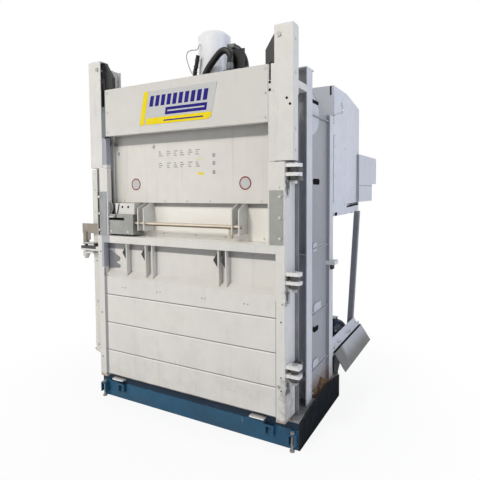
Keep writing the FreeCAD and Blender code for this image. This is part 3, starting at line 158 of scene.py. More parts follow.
# lamps: name, place, aim, disc width, watts and colour
studioForm = {
    "worldShade": (0.80, 0.87, 1.0),
    "worldLevel": 0.33,
    "floorShade": (0.90, 0.90, 0.90),
    "floorSize": 30,
    "floorDrop": 0.0005,
    "fadeStart": 0.7,
    "fadeEnd": 2.6,
    "floorGlow": 0.88,
    "lamps": [
        ("frontKey", (-3.8, -16.0, 14.6), (0, -0.45, 1.3), 4.2, 2250, (1.0, 0.958, 0.895)),
        ("leftFill", (-3.6, -4.4, 2.2), (-0.4, -0.45, 1.5), 2.4, 42, (1.0, 0.97, 0.93)),
        ("sideFill", (6.5, -0.5, 3.0), (0.8, 0.4, 1.3), 4.0, 165, (0.77, 0.83, 1.0)),
        ("backSoft", (-3.0, 6.5, 3.5), (0, 0.5, 1.2), 4.0, 130, (0.95, 0.97, 1.0)),
    ],
}


def makeWorld(s):
    world = bpy.data.worlds.new("studio")
    scene.world = world
    world.use_nodes = True
    tree = world.node_tree
    tree.nodes.clear()
    light = addNode(tree, "ShaderNodeBackground", {"Color": s["worldShade"], "Strength": s["worldLevel"]})
    white = addNode(tree, "ShaderNodeBackground", {"Color": (1, 1, 1)})
    path = addNode(tree, "ShaderNodeLightPath").outputs
    seen = calc(tree, "MAXIMUM", path["Is Camera Ray"], path["Is Glossy Ray"])
    seen = calc(tree, "MAXIMUM", seen, path["Is Transmission Ray"])
    addNode(tree, "ShaderNodeOutputWorld", {0: mixShader(tree, seen, light, white)})


def makeFloor(s):
    size = s["floorSize"]
    mesh = bpy.data.meshes.new("studioFloor")
    corners = [(-size, -size, 0), (size, -size, 0), (size, size, 0), (-size, size, 0)]
    mesh.from_pydata(corners, [], [(0, 1, 2, 3)])
    floor = bpy.data.objects.new("studioFloor", mesh)
    scene.collection.objects.link(floor)
    floor.location.z = -s["floorDrop"]
    mat, tree = newMaterial("paleFloor")
    matt = addNode(tree, "ShaderNodeBsdfDiffuse", {"Color": s["floorShade"]})
    glow = addNode(tree, "ShaderNodeEmission", {"Color": (1, 1, 1)})
    away = addNode(tree, "ShaderNodeVectorMath", {0: objectPlace(tree)}, operation="LENGTH").outputs["Value"]
    fade = mapTo(tree, away, s["fadeStart"], s["fadeEnd"], s["floorGlow"])
    seen = times(tree, fade, addNode(tree, "ShaderNodeLightPath").outputs["Is Camera Ray"])
    addNode(tree, "ShaderNodeOutputMaterial", {0: mixShader(tree, seen, matt, glow)})
    mesh.materials.append(mat)


def makeLamps(s):
    for name, place, aim, size, power, shade in s["lamps"]:
        data = bpy.data.lights.new(name, "AREA")
        data.shape = "DISK"
        data.size = size
        data.energy = power
        data.color = shade
        lamp = bpy.data.objects.new(name, data)
        scene.collection.objects.link(lamp)
        lamp.location = place
        lamp.rotation_mode = "QUATERNION"
        lamp.rotation_quaternion = (Vector(aim) - Vector(place)).to_track_quat("-Z", "Y")


makeCamera(cameraForm)
makeWorld(studioForm)
makeFloor(studioForm)
makeLamps(studioForm)
print("camera and studio ready")


def newTree(name, kind, inputs, outputs):
    tree = bpy.data.node_groups.new(name, kind)
    for label, value in inputs.items():
        if isinstance(value, str):  # a socket without a value, given by its kind
            tree.interface.new_socket(label, in_out="INPUT", socket_type="NodeSocket" + value)
            continue
        if isinstance(value, tuple):
            sort = "Color" if len(value) == 4 else "Vector"
        else:
            sort = "Int" if isinstance(value, int) else "Float"
        socket = tree.interface.new_socket(label, in_out="INPUT", socket_type="NodeSocket" + sort)
        socket.default_value = value
    for label, sort in outputs.items():
        tree.interface.new_socket(label, in_out="OUTPUT", socket_type="NodeSocket" + sort)
    return tree, addNode(tree, "NodeGroupInput").outputs


def newEffect(name, inputs, **outputs):
    return newTree(name, "ShaderNodeTree", inputs, outputs)


def makeEdgeGroup():
    tree, given = newEffect("roundedEdge", {"Radius": 0.003}, Normal="Vector", Edge="Float")
    rounded = addNode(tree, "ShaderNodeBevel", {"Radius": given["Radius"]}, samples=4).outputs[0]
    flat = addNode(tree, "ShaderNodeNewGeometry").outputs["Normal"]
    bent = addNode(tree, "ShaderNodeVectorMath", {0: rounded, 1: flat}, operation="DOT_PRODUCT")
    worn = mapTo(tree, bent.outputs["Value"], 0.995, 0.80)
    addNode(tree, "NodeGroupOutput", {"Normal": rounded, "Edge": worn})
    return tree


def makeDirtGroup():
    tree, given = newEffect("settledDirt", {
        "Amount": 0.4, "Low": 0.0, "High": 0.6, "Streaks": 0.3, "Scale": 6.0}, Mask="Float", Streak="Float")
    place = objectPlace(tree)
    height = addNode(tree, "ShaderNodeSeparateXYZ", {0: place}).outputs["Z"]
    level = mapTo(tree, height, given["High"], given["Low"])
    cloud = noiseAt(tree, place, given["Scale"], 8, 0.65)
    grain = mapTo(tree, noiseAt(tree, place, 90.0, 3, 0.6), 0.35, 0.75, 0.5, 1.0)
    patches = times(tree, mapTo(tree, cloud, 0.42, 0.72), 0.45)
    everywhere = plus(tree, patches, times(tree, level, mapTo(tree, cloud, 0.30, 0.65)))
    mask = times(tree, times(tree, everywhere, grain), given["Amount"], clamp=True)
    runs = noiseAt(tree, stretched(tree, place, (22, 22, 0.9)), 1.0, 5, 0.6)
    streak = times(tree, mapTo(tree, runs, 0.56, 0.80), given["Streaks"], clamp=True)
    addNode(tree, "NodeGroupOutput", {"Mask": mask, "Streak": streak})
    return tree


def makeCoatGroup():
    tree, given = newEffect("brushedOnCoat", {
        "Paint": (0.8, 0.8, 0.8, 1), "Tint": (0.7, 0.7, 0.7, 1), "Peel": 260.0},
        Color="Color", Height="Float", Sheen="Float")
    place = objectPlace(tree)
    wide = noiseAt(tree, place, 1.7, 3, 0.5)
    mid = noiseAt(tree, place, 14.0, 5, 0.6)
    peel = noiseAt(tree, place, given["Peel"], 2, 0.5)
    broad = times(tree, mapTo(tree, wide, 0.35, 0.65), 0.6)
    tone = plus(tree, broad, times(tree, mapTo(tree, mid, 0.35, 0.7), 0.4))
    addNode(tree, "NodeGroupOutput", {
        "Color": blendColor(tree, tone, given["Paint"], given["Tint"]),
        "Height": plus(tree, times(tree, peel, 0.35), times(tree, mid, 0.65)),
        "Sheen": mapTo(tree, mid, 0.3, 0.7)})
    return tree


def makeScratchGroup():
    tree, given = newEffect("dragMarks", {"Scale": 30.0, "Amount": 0.3}, Mask="Float")
    place = objectPlace(tree)
    total = None
    for scale in ((0.05, 1, 1), (1, 1, 0.04), (0.5, 1, 0.15)):
        line = noiseAt(tree, stretched(tree, place, scale), given["Scale"], 2, 0.5)
        thin = mapTo(tree, line, 0.71, 0.76)
        total = calc(tree, "MAXIMUM", total, thin) if total else thin
    gate = mapTo(tree, noiseAt(tree, place, 3.0, 3, 0.5), 0.45, 0.62)
    addNode(tree, "NodeGroupOutput", {"Mask": times(tree, times(tree, total, gate), given["Amount"])})
    return tree


# a box-shaped mask, used for real stains and for painted shade and painted light
def makeStainAndPaintedLightGroup():
    tree, given = newEffect("placedStainAndPaintedLight", {
        "Centre": (0, 0, 0), "Half": (0.1, 0.1, 0.1), "Soft": 0.02, "Ragged": 0.0, "Grain": 25.0,
        "Mirror": 0.0}, Mask="Float")
    place = objectPlace(tree)
    split = addNode(tree, "ShaderNodeSeparateXYZ", {0: place}).outputs
    positive = calc(tree, "ABSOLUTE", split["X"])
    twin = times(tree, calc(tree, "SUBTRACT", positive, split["X"]), given["Mirror"])
    feeds = {"X": plus(tree, split["X"], twin), "Y": split["Y"], "Z": split["Z"]}
    last = addNode(tree, "ShaderNodeCombineXYZ", feeds).outputs[0]
    for operation, other in (("SUBTRACT", given["Centre"]), ("ABSOLUTE", None), ("SUBTRACT", given["Half"])):
        last = addNode(tree, "ShaderNodeVectorMath", {0: last, 1: other}, operation=operation).outputs[0]
    far = addNode(tree, "ShaderNodeSeparateXYZ", {0: last}).outputs
    outside = calc(tree, "MAXIMUM", calc(tree, "MAXIMUM", far["X"], far["Y"]), far["Z"])
    rough = noiseAt(tree, place, given["Grain"], 5, 0.6)
    wobble = times(tree, calc(tree, "SUBTRACT", rough, 0.45), given["Ragged"])
    gone = calc(tree, "DIVIDE", plus(tree, outside, wobble), given["Soft"])
    addNode(tree, "NodeGroupOutput", {"Mask": mapTo(tree, gone, 0.0, 1.0, 1.0, 0.0)})
    return tree


effects = {"edge": makeEdgeGroup(), "dirt": makeDirtGroup(), "coat": makeCoatGroup(),
           "marks": makeScratchGroup(), "stainAndPaintedLight": makeStainAndPaintedLightGroup()}


def useEffect(tree, key, **values):
    return addNode(tree, "ShaderNodeGroup", values, node_tree=effects[key]).outputs


coatRough = 0.2
bumpReach = 0.002
sheenSpread = 0.12  # how far the roughness wanders over clean paint
dirtRough = 0.35  # what full dirt adds to it


def paintedMetal(name, paint, tint, rough=0.42, dirt=0.35, dirtShade=(0.30, 0.27, 0.23), low=0.0,
                 high=0.7, streaks=0.25, marks=0.2, markShade=(0.34, 0.33, 0.32), edge=0.35,
                 edgeShade=(0.42, 0.40, 0.38), radius=0.003, metal=0.0, bump=0.10, scale=6.0,
                 coat=0.0, gloss=0.5, stainsAndPaintedLight=()):
    mat, tree = newMaterial(name)
    skin = useEffect(tree, "coat", Paint=paint, Tint=tint)
    grime = useEffect(tree, "dirt", Amount=dirt, Low=low, High=high, Streaks=streaks, Scale=scale)
    scratch = useEffect(tree, "marks", Amount=marks)
    rim = useEffect(tree, "edge", Radius=radius)
    layers = [(grime["Streak"], dirtShade), (grime["Mask"], dirtShade), (scratch["Mask"], markShade),
              (times(tree, rim["Edge"], edge), edgeShade)]
    # real stains, painted shade and painted light at set places
    for shade, amount, values in stainsAndPaintedLight:
        layers.append((times(tree, useEffect(tree, "stainAndPaintedLight", **values)["Mask"], amount), shade))
    color = skin["Color"]
    for mask, shade in layers:
        color = blendColor(tree, mask, color, shade)
    rougher = plus(tree, times(tree, skin["Sheen"], sheenSpread), times(tree, grime["Mask"], dirtRough))
    relief = addNode(tree, "ShaderNodeBump", {
        "Strength": bump, "Distance": bumpReach, "Height": skin["Height"], "Normal": rim["Normal"]})
    shader = addNode(tree, "ShaderNodeBsdfPrincipled", {
        "Base Color": color, "Roughness": plus(tree, rougher, rough - sheenSpread / 2, clamp=True),
        "Normal": relief.outputs[0], "Metallic": metal, "Specular IOR Level": gloss})
    if coat:
        shader.inputs["Coat Weight"].default_value = coat
        shader.inputs["Coat Roughness"].default_value = coatRough
    addNode(tree, "ShaderNodeOutputMaterial", {0: shader.outputs[0]})
    return mat


rust = (0.20, 0.085, 0.03)
# the grease colour, also used for painted shade in the gaps beside the left stile, the guide plate and the
# latch lugs
greaseAndGapShade = (0.012, 0.011, 0.010)
seamLevels = (0.428, 0.651, 0.874)
# the pale line under each seam is a painted highlight
seamShine = 0.0075  # the pale line lies this far below a seam's middle
hingeLevels = (1.79, 1.11, 0.52)
spotPlaces = ((-0.058, 0.445), (0.555, 0.331), (0.078, 0.651))


def stainAndPaintedLight(shade, amount, centre, half, soft, **more):
    x, deep, z = centre
    return shade, amount, {"Centre": (x, fromFront(deep), z), "Half": half, "Soft": soft, **more}


# painted shade, painted light and real stains at set places: colour, amount, centre from the door's front,
# half size, soft edge
stainAndPaintedLightSets = {
    "door":
        # dark lines along the door's folds: painted shade in the creases; the pale lines just under them:
        # painted highlight on the folds
        [stainAndPaintedLight((0.13, 0.12, 0.115), 0.85, (0, 0, z), (0.742, 0.012, 0.0022), 0.0025) for z in seamLevels] +
        [stainAndPaintedLight((0.86, 0.84, 0.79), 0.7, (0, 0, z - seamShine), (0.742, 0.012, 0.0018), 0.003)
         for z in seamLevels] +
        [stainAndPaintedLight((0.16, 0.15, 0.14), 0.7, (0.7428, 0, 0.60), (0.0012, 0.012, 0.385), 0.0016, Mirror=1.0),
         # painted shade down the recess between the left stile and the panel
         stainAndPaintedLight((0.20, 0.205, 0.225), 0.9, (-0.7295, 0, 0.66), (0.0135, 0.012, 0.42), 0.003),
         # painted shade in the gap beside the left stile, in the grease colour
         stainAndPaintedLight(greaseAndGapShade, 0.9, (-0.787, 0, 1.773), (0.011, 0.004, 0.088), 0.002),
         # lavender on the upper left stile and rib: painted shade
         stainAndPaintedLight((0.33, 0.34, 0.385), 0.85, (-0.722, 0.02, 1.215), (0.042, 0.07, 0.125), 0.003),
         # pale top of the door's ledge under the flap: painted light
         stainAndPaintedLight((0.93, 0.91, 0.86), 0.85, (0, 0.082, 1.338), (0.74, 0.080, 0.0012), 0.0008),
         stainAndPaintedLight((0.27, 0.245, 0.21), 0.55, (0.806, 0.05, 0.33), (0.003, 0.06, 0.13), 0.05,
               Ragged=0.25, Grain=14.0),
         # painted shadow below the door's top rail, across the recess
         stainAndPaintedLight((0.12, 0.12, 0.115), 0.66, (0, 0.058, 1.258), (0.7427, 0.015, 0.026), 0.003),
         # dark toothed plates: painted shade
         stainAndPaintedLight((0.15, 0.155, 0.17), 0.9, (-0.683, 0.0517, 1.143), (0.06, 0.004, 0.075), 0.001),
         # painted shade between the latch lugs, in the grease colour
         stainAndPaintedLight(greaseAndGapShade, 0.95, (-0.93, 0.03, 1.235), (0.085, 0.07, 0.012), 0.004, Ragged=0.01, Grain=30.0)] +
        [stainAndPaintedLight(rust, 0.55, (side * 0.775, 0.02, 0.206), (0.022, 0.05, 0.004), 0.02, Ragged=0.05, Grain=50.0)
         for side in (-1, 1)] +
        [stainAndPaintedLight((0.30, 0.22, 0.16), 0.6, (x, 0, z), (0.001, 0.01, 0.001), 0.006, Ragged=0.01, Grain=60.0)
         for x, z in spotPlaces] +
        [stainAndPaintedLight(greaseAndGapShade, 0.92, (0.803, 0.045, z - 0.10), (0.02, 0.018, 0.035), 0.03, Ragged=0.12, Grain=38.0)
         for z in hingeLevels],
    "flap": [
        # paler lower recessed face of the flap: painted light
        stainAndPaintedLight((0.88, 0.855, 0.79), 0.75, (0, 0.134, 1.45), (0.699, 0.003, 0.118), 0.004),
        # painted shadow of the header on the flap
        stainAndPaintedLight((0.16, 0.16, 0.15), 0.55, (0, 0.092, 2.080), (0.7037, 0.012, 0.038), 0.005),
        # painted shadow under the flap's step
        stainAndPaintedLight((0.11, 0.11, 0.105), 0.66, (0, 0.134, 1.583), (0.70, 0.012, 0.0145), 0.003)],
    "bar": [
        # darker underside of the bar: painted shade
        stainAndPaintedLight((0.09, 0.05, 0.028), 0.85, (0, 0.040, 1.4300), (0.5, 0.03, 0.0065), 0.002)],
    "guidePlates": [
        # painted shade over the right part of the left plate, and in the gap to its left in the grease colour
        stainAndPaintedLight((0.30, 0.31, 0.36), 0.9, (-0.718, 0, 1.5), (0.0165, 0.02, 0.2), 0.002),
        stainAndPaintedLight(greaseAndGapShade, 0.95, (-0.787, 0, 1.5), (0.011, 0.02, 0.2), 0.002)],
    "latch": [
        # painted shade between the latch lugs, in the grease colour
        stainAndPaintedLight(greaseAndGapShade, 0.93, (-0.95, 0.03, 1.237), (0.085, 0.05, 0.022), 0.004, Ragged=0.02)],
    "flare": [
        # lighter towards the top: painted highlight
        stainAndPaintedLight((0.50, 0.51, 0.55), 0.8, (0, 1.45, 0.375), (1.0, 0.30, 0.01), 0.11)],
    "hood": [
        # darker, bluer front face of the hood: painted shade
        stainAndPaintedLight((0.45, 0.46, 0.51), 0.8, (0, 0.985, 2.0), (0.812, 0.003, 0.56), 0.002)],
    "strips": [
        # painted shade on the left slot strip, darkest higher up
        stainAndPaintedLight((0.27, 0.28, 0.33), 0.9, (-0.716, 0, 2.0), (0.03, 0.1, 0.106), 0.004),
        stainAndPaintedLight((0.09, 0.105, 0.125), 0.95, (-0.716, 0, 2.2), (0.03, 0.1, 0.10), 0.004)],
    "columns": [
        # darker recessed web of the columns: painted shade
        stainAndPaintedLight((0.29, 0.292, 0.30), 0.88, (0, 0.600, 1.34), (0.846, 0.196, 1.2), 0.001, Mirror=1.0),
        # paler top of the left column: painted light
        stainAndPaintedLight((0.90, 0.92, 0.95), 0.9, (-0.77, 0.6, 2.46), (0.09, 0.4, 0.07), 0.02),
        stainAndPaintedLight(rust, 0.45, (0.80, 0.63, 0.22), (0.06, 0.20, 0.05), 0.08, Ragged=0.2, Grain=22.0, Mirror=1.0)],
    "base": [
        # dark band along the base's upper front: painted shadow of the door
        stainAndPaintedLight((0.005, 0.014, 0.030), 0.85, (0, 0.5, 0.160), (1.0, 1.0, 0.026), 0.008, Ragged=0.02)],
}

creamShade = (0.70, 0.675, 0.62)
creamTint = (0.64, 0.63, 0.60)
printed = {"edge": 0.0, "bump": 0.03}
board = {"rough": 0.55, "marks": 0.10, "gloss": 0.2, **printed}
galvanised = {"markShade": (0.45, 0.45, 0.44), "scale": 14.0, "edgeShade": (0.48, 0.48, 0.47)}

finish = {
    "cream": paintedMetal(
        "creamPaint", creamShade, creamTint, rough=0.40, dirt=0.30, streaks=0.22, marks=0.25,
        edge=0.30),
    "doorPaint": paintedMetal(
        "doorPaint", creamShade, (0.65, 0.635, 0.60), rough=0.40, dirt=0.30, streaks=0.20, marks=0.25,
        edge=0.30, stainsAndPaintedLight=stainAndPaintedLightSets["door"]),
    "hingePaint": paintedMetal(
        "hingePaint", (0.78, 0.77, 0.75), (0.70, 0.69, 0.67), rough=0.42, dirt=0.3,
        dirtShade=(0.2, 0.19, 0.18), streaks=0.25, marks=0.4),
    "greased": paintedMetal(
        "greasedKnuckle", greaseAndGapShade, (0.16, 0.155, 0.15), rough=0.34, dirt=0.8, dirtShade=greaseAndGapShade, low=1.9,
        high=2.2, streaks=0.6, marks=0.5, markShade=(0.45, 0.45, 0.45), edge=0.5,
        edgeShade=(0.6, 0.6, 0.6)),
    "stripPaint": paintedMetal(
        "stripPaint", creamShade, creamTint, dirt=0.3, streaks=0.2, stainsAndPaintedLight=stainAndPaintedLightSets["strips"]),
    # dark blue-grey: painted shade for the inside of the left channel
    "channel": paintedMetal(
        "channelShade", (0.09, 0.105, 0.125), (0.12, 0.13, 0.15), rough=0.55, dirt=0.2),
    "creamClean": paintedMetal(
        "headerPaint", (0.63, 0.606, 0.558), (0.60, 0.585, 0.545), dirt=0.15, streaks=0.10, marks=0.10,
        edge=0.25),
    "flap": paintedMetal(
        "flapPaint", (0.69, 0.665, 0.605), (0.64, 0.62, 0.575), dirt=0.16, streaks=0.22, marks=0.25,
        low=1.2, high=1.5, stainsAndPaintedLight=stainAndPaintedLightSets["flap"]),
    "side": paintedMetal(
        "columnPaint", (0.63, 0.63, 0.64), (0.58, 0.58, 0.59), dirt=0.35, streaks=0.30, marks=0.3,
        stainsAndPaintedLight=stainAndPaintedLightSets["columns"]),
    # gussetPaint also colours the strips over the gaps beside the flap, there as painted shade
    "gusset": paintedMetal(
        "gussetPaint", (0.56, 0.565, 0.59), (0.52, 0.525, 0.55), dirt=0.3, streaks=0.2, marks=0.2),
    "hood": paintedMetal(
        "hoodPaint", (0.66, 0.67, 0.70), (0.61, 0.62, 0.65), dirt=0.15, streaks=0.12, marks=0.1,
        stainsAndPaintedLight=stainAndPaintedLightSets["hood"]),
    "white": paintedMetal(
        "barrelPaint", (0.88, 0.88, 0.88), (0.83, 0.83, 0.83), rough=0.3, dirt=0.12, streaks=0.08,
        marks=0.08, edge=0.1, coat=0.2),
    "blue": paintedMetal(
        "basePaint", (0.022, 0.105, 0.190), (0.016, 0.080, 0.150), rough=0.5, dirt=0.4, low=0.0,
        high=0.2, dirtShade=(0.05, 0.07, 0.085), streaks=0.3, marks=0.35, gloss=0.3,
        markShade=(0.20, 0.24, 0.27), edge=0.4, edgeShade=(0.16, 0.20, 0.24), stainsAndPaintedLight=stainAndPaintedLightSets["base"]),
    "skirt": paintedMetal(
        "skirtPaint", (0.0015, 0.003, 0.004), (0.003, 0.005, 0.007), rough=0.6, dirt=0.15,
        dirtShade=(0.008, 0.010, 0.011), high=0.2, marks=0.2, markShade=(0.02, 0.023, 0.026), edge=0.7,
        edgeShade=(0.30, 0.31, 0.32), gloss=0.05, streaks=0.1),
    "black": paintedMetal(
        "guardBlack", (0.010, 0.010, 0.010), (0.018, 0.018, 0.018), rough=0.5, dirt=0.3,
        dirtShade=(0.08, 0.08, 0.08), marks=0.2, markShade=(0.10, 0.10, 0.10), edge=0.4,
        edgeShade=(0.10, 0.10, 0.10), low=2.2, high=2.7),
    "navy": paintedMetal(
        "motorNavy", (0.004, 0.014, 0.045), (0.006, 0.018, 0.05), rough=0.4, dirt=0.4,
        dirtShade=(0.06, 0.06, 0.06), high=0.6, marks=0.1, edge=0.3, edgeShade=(0.08, 0.09, 0.12)),
    "strut": paintedMetal(
        "strutGrey", (0.235, 0.24, 0.262), (0.26, 0.26, 0.28), rough=0.5, dirt=0.3,
        dirtShade=(0.24, 0.23, 0.23), marks=0.2, edge=0.4, edgeShade=(0.34, 0.34, 0.35)),
    "worn": paintedMetal(
        "wornPlate", (0.40, 0.40, 0.39), (0.30, 0.30, 0.30), rough=0.5, dirt=0.8,
        dirtShade=(0.16, 0.12, 0.09), low=0.1, high=0.9, streaks=0.5, marks=0.8,
        markShade=(0.50, 0.50, 0.50), metal=0.5),
    "chamber": paintedMetal(
        "chamberPlate", (0.30, 0.31, 0.33), (0.22, 0.23, 0.25), rough=0.5, dirt=0.6,
        dirtShade=(0.10, 0.09, 0.08), low=0.1, high=1.2, streaks=0.4, marks=0.7,
        markShade=(0.42, 0.42, 0.42), metal=0.2),
    "zinc": paintedMetal(
        "zincCoat", (0.33, 0.335, 0.31), (0.26, 0.27, 0.25), rough=0.5, dirt=0.3, marks=0.4, metal=0.35,
        **galvanised),
    "steel": paintedMetal(
        "brightSteel", (0.58, 0.57, 0.55), (0.48, 0.47, 0.45), rough=0.34, dirt=0.3, marks=0.5,
        markShade=(0.7, 0.7, 0.7), metal=0.8, edge=0.3, edgeShade=(0.75, 0.75, 0.74), radius=0.0012),
    "plateZinc": paintedMetal(
        "plateZinc", (0.33, 0.335, 0.30), (0.27, 0.275, 0.25), rough=0.5, dirt=0.35, marks=0.5,
        metal=0.2, stainsAndPaintedLight=stainAndPaintedLightSets["guidePlates"], **galvanised),
    "flareZinc": paintedMetal(
        "flareZinc", (0.142, 0.144, 0.134), (0.115, 0.12, 0.111), rough=0.42, dirt=0.25, marks=0.4,
        markShade=(0.40, 0.40, 0.40), metal=0.3, scale=14.0, edge=0.6, edgeShade=(0.60, 0.60, 0.60),
        stainsAndPaintedLight=stainAndPaintedLightSets["flare"]),
    "boltGrey": paintedMetal(
        "boltGrey", (0.44, 0.44, 0.42), (0.30, 0.30, 0.29), rough=0.35, dirt=0.4, marks=0.3, metal=0.25,
        edge=0.4, edgeShade=(0.6, 0.6, 0.6), radius=0.0012),
    "barBrown": paintedMetal(
        "rubbedBar", (0.635, 0.58, 0.47), (0.52, 0.445, 0.335), rough=0.4, dirt=0.4, marks=0.6,
        dirtShade=(0.20, 0.14, 0.08), markShade=(0.72, 0.70, 0.66), metal=0.35, low=1.0, high=1.5,
        edge=0.0, stainsAndPaintedLight=stainAndPaintedLightSets["bar"]),
    "latchPaint": paintedMetal(
        "latchPaint", creamShade, creamTint, dirt=0.35, streaks=0.25, marks=0.3,
        stainsAndPaintedLight=stainAndPaintedLightSets["latch"]),
    "bronze": paintedMetal(
        "leverTaupe", (0.24, 0.20, 0.165), (0.29, 0.25, 0.21), rough=0.45, dirt=0.4, marks=0.5,
        markShade=(0.45, 0.42, 0.38), metal=0.3, low=1.1, high=1.5),
    "iron": paintedMetal(
        "castGrey", (0.16, 0.16, 0.165), (0.20, 0.20, 0.20), rough=0.55, dirt=0.3, metal=0.5, bump=0.3),
    "rubber": paintedMetal(
        "beltRubber", (0.02, 0.02, 0.02), (0.032, 0.031, 0.03), rough=0.7, dirt=0.4,
        dirtShade=(0.10, 0.10, 0.095), marks=0.1, edge=0.2, edgeShade=(0.08, 0.08, 0.08), radius=0.0006,
        bump=0.25),
    "hose": paintedMetal(
        "hoseBlack", (0.005, 0.005, 0.0055), (0.009, 0.009, 0.0095), rough=0.38, dirt=0.15,
        dirtShade=(0.03, 0.03, 0.03), marks=0.15, markShade=(0.06, 0.06, 0.06), gloss=0.35, edge=0.0,
        radius=0.0006, bump=0.2, scale=14.0),
    "cable": paintedMetal(
        "cableGrey", (0.30, 0.30, 0.32), (0.22, 0.22, 0.24), rough=0.45, dirt=0.3, edge=0.0,
        radius=0.0005, marks=0.1),
    "padWhite": paintedMetal(
        "padWhite", (0.86, 0.86, 0.84), (0.80, 0.80, 0.78), rough=0.5, dirt=0.12, high=0.2),
    # black sheets laid where slots, holes and gaps show their dark inside: painted shade
    "holeShade": paintedMetal(
        "holeShadeBlack", (0.003, 0.003, 0.0035), (0.005, 0.005, 0.006), rough=0.8, dirt=0.0, streaks=0.0,
        marks=0.0, edge=0.0, gloss=0.05, bump=0.02),
    "boardGrey": paintedMetal(
        "boardGrey", (0.56, 0.56, 0.54), (0.52, 0.52, 0.51), dirt=0.12, streaks=0.08, **board),
    "boardYellow": paintedMetal(
        "boardYellow", (0.86, 0.68, 0.006), (0.80, 0.62, 0.006), dirt=0.10, streaks=0.06, **board),
    "boardBlue": paintedMetal(
        "boardBlue", (0.010, 0.004, 0.20), (0.009, 0.004, 0.17), dirt=0.08, streaks=0.05, **board),
    "markGrey": paintedMetal(
        "markGrey", (0.26, 0.26, 0.265), (0.36, 0.36, 0.36), rough=0.4, dirt=0.2, **printed),
    "markPale": paintedMetal(
        "markPale", (0.70, 0.70, 0.36), (0.66, 0.66, 0.40), rough=0.4, dirt=0.2, **printed),
    "discRed": paintedMetal(
        "discRed", (0.24, 0.010, 0.020), (0.20, 0.009, 0.017), rough=0.4, dirt=0.05, **printed),
    "scrap": paintedMetal(
        "scrapBrown", (0.42, 0.30, 0.15), (0.16, 0.075, 0.03), rough=0.85, dirt=0.7,
        dirtShade=(0.06, 0.04, 0.028), edge=0.0, marks=0.7, markShade=(0.62, 0.52, 0.36), bump=0.6,
        scale=90.0),
}
print("finishes ready:", len(finish))

nodeFinish = {
    "cream": ["post_covers", "post_arms", "flap_guides", "bar_brackets", "switch_cover", "head_beams",
              "cylinder_plate"],
    "doorPaint": ["door_panel", "door_back_plate", "door_sides", "door_ribs"],
    "hingePaint": ["door_hinge_lugs"],
    "greased": ["hinge_knuckles"],
    "stripPaint": ["slot_strips"],
    "side": ["side_columns"],
    "creamClean": ["header_panel"],
    "flap": ["flap_panel"],
    "hood": ["hood", "hood_hangers", "rear_cabinet", "side_rails"],
    "white": ["press_cylinder"],
    "blue": ["base_frame", "base_brackets"],
    "skirt": ["base_skirts"],
    "black": ["pulley_guards", "guard_buffers", "motor_shelf"],
    "hose": ["valve_block"],
    "navy": ["drive_motor"],
    "strut": ["hood_struts"],
    "worn": ["floor_plate", "rear_wall", "press_platen"],
    "chamber": ["chamber_walls"],
    "zinc": ["lock_box", "levelling_screws"],
    "plateZinc": ["guide_plates"],
    "flareZinc": ["flared_guards"],
    "boltGrey": ["hinge_pins", "pulley_axles"],
    "latchPaint": ["latch_post"],
    "barBrown": ["lock_bar"],
    "steel": ["piston_rod", "hood_rod", "plate_bolts"],
    "bronze": ["latch_lever"],
    "iron": ["belt_lugs", "counterweight_left", "counterweight_right", "pulley_left", "pulley_right"],
    "rubber": ["belt_left", "belt_right", "press_hoses", "cable_bundle", "switch_cables"],
    "padWhite": ["door_pads"],
}
for look, names in nodeFinish.items():
    for name in names:
        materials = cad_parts[name].data.materials
        materials.clear()
        materials.append(finish[look])
print("CAD nodes dressed")


def finished(name, mesh, look, body):
    obj = bpy.data.objects.new(name, mesh)
    scene.collection.objects.link(obj)
    mesh.materials.clear()
    mesh.materials.append(finish[look])
    if body:
        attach(obj, body)
    return obj


def fromBmesh(name, bm, look, body, smoothAngle=None):
    bmesh.ops.remove_doubles(bm, verts=bm.verts, dist=0.00001)
    bmesh.ops.recalc_face_normals(bm, faces=bm.faces)
    mesh = bpy.data.meshes.new(name)
    bm.to_mesh(mesh)
    bm.free()
    if smoothAngle:
        for face in mesh.polygons:
            face.use_smooth = True
        mesh.set_sharp_from_angle(angle=math.radians(smoothAngle))
    return finished(name, mesh, look, body)


def addBar(bm, low, high, round=0.0):
    low, high = Vector(low), Vector(high)
    made = bmesh.ops.create_cube(bm, size=1)
    for vert in made["verts"]:
        for i in range(3):
            vert.co[i] = (low[i] + high[i]) / 2 + vert.co[i] * (high[i] - low[i])
    if round:
        rim = {edge for vert in made["verts"] for edge in vert.link_edges}
        bmesh.ops.bevel(bm, geom=list(rim), offset=round, segments=2, profile=0.5, affect="EDGES")


def addPlate(bm, corners, along, thick):
    along = Vector(along)
    bottom = [bm.verts.new(Vector(corner)) for corner in corners]
    top = [bm.verts.new(Vector(corner) + along * thick) for corner in corners]
    bm.faces.new(bottom)
    bm.faces.new(list(reversed(top)))
    for i in range(len(corners)):
        j = (i + 1) % len(corners)
        bm.faces.new((bottom[j], bottom[i], top[i], top[j]))


def joinRings(bm, rings):
    for low, high in zip(rings, rings[1:]):
        for i in range(len(low)):
            j = (i + 1) % len(low)
            bm.faces.new((low[i], low[j], high[j], high[i]))
    bm.faces.new(list(reversed(rings[0])))
    bm.faces.new(rings[-1])


def around(sides):
    return [2 * math.pi * i / sides for i in range(sides)]


def addTurned(bm, centre, direction, profile, sides):
    turn = Vector(direction).to_track_quat("Z", "Y").to_matrix()
    rings = []
    for radius, height in profile:
        spots = [Vector((radius * math.cos(a), radius * math.sin(a), height)) for a in around(sides)]
        rings.append([bm.verts.new(Vector(centre) + turn @ spot) for spot in spots])
    joinRings(bm, rings)


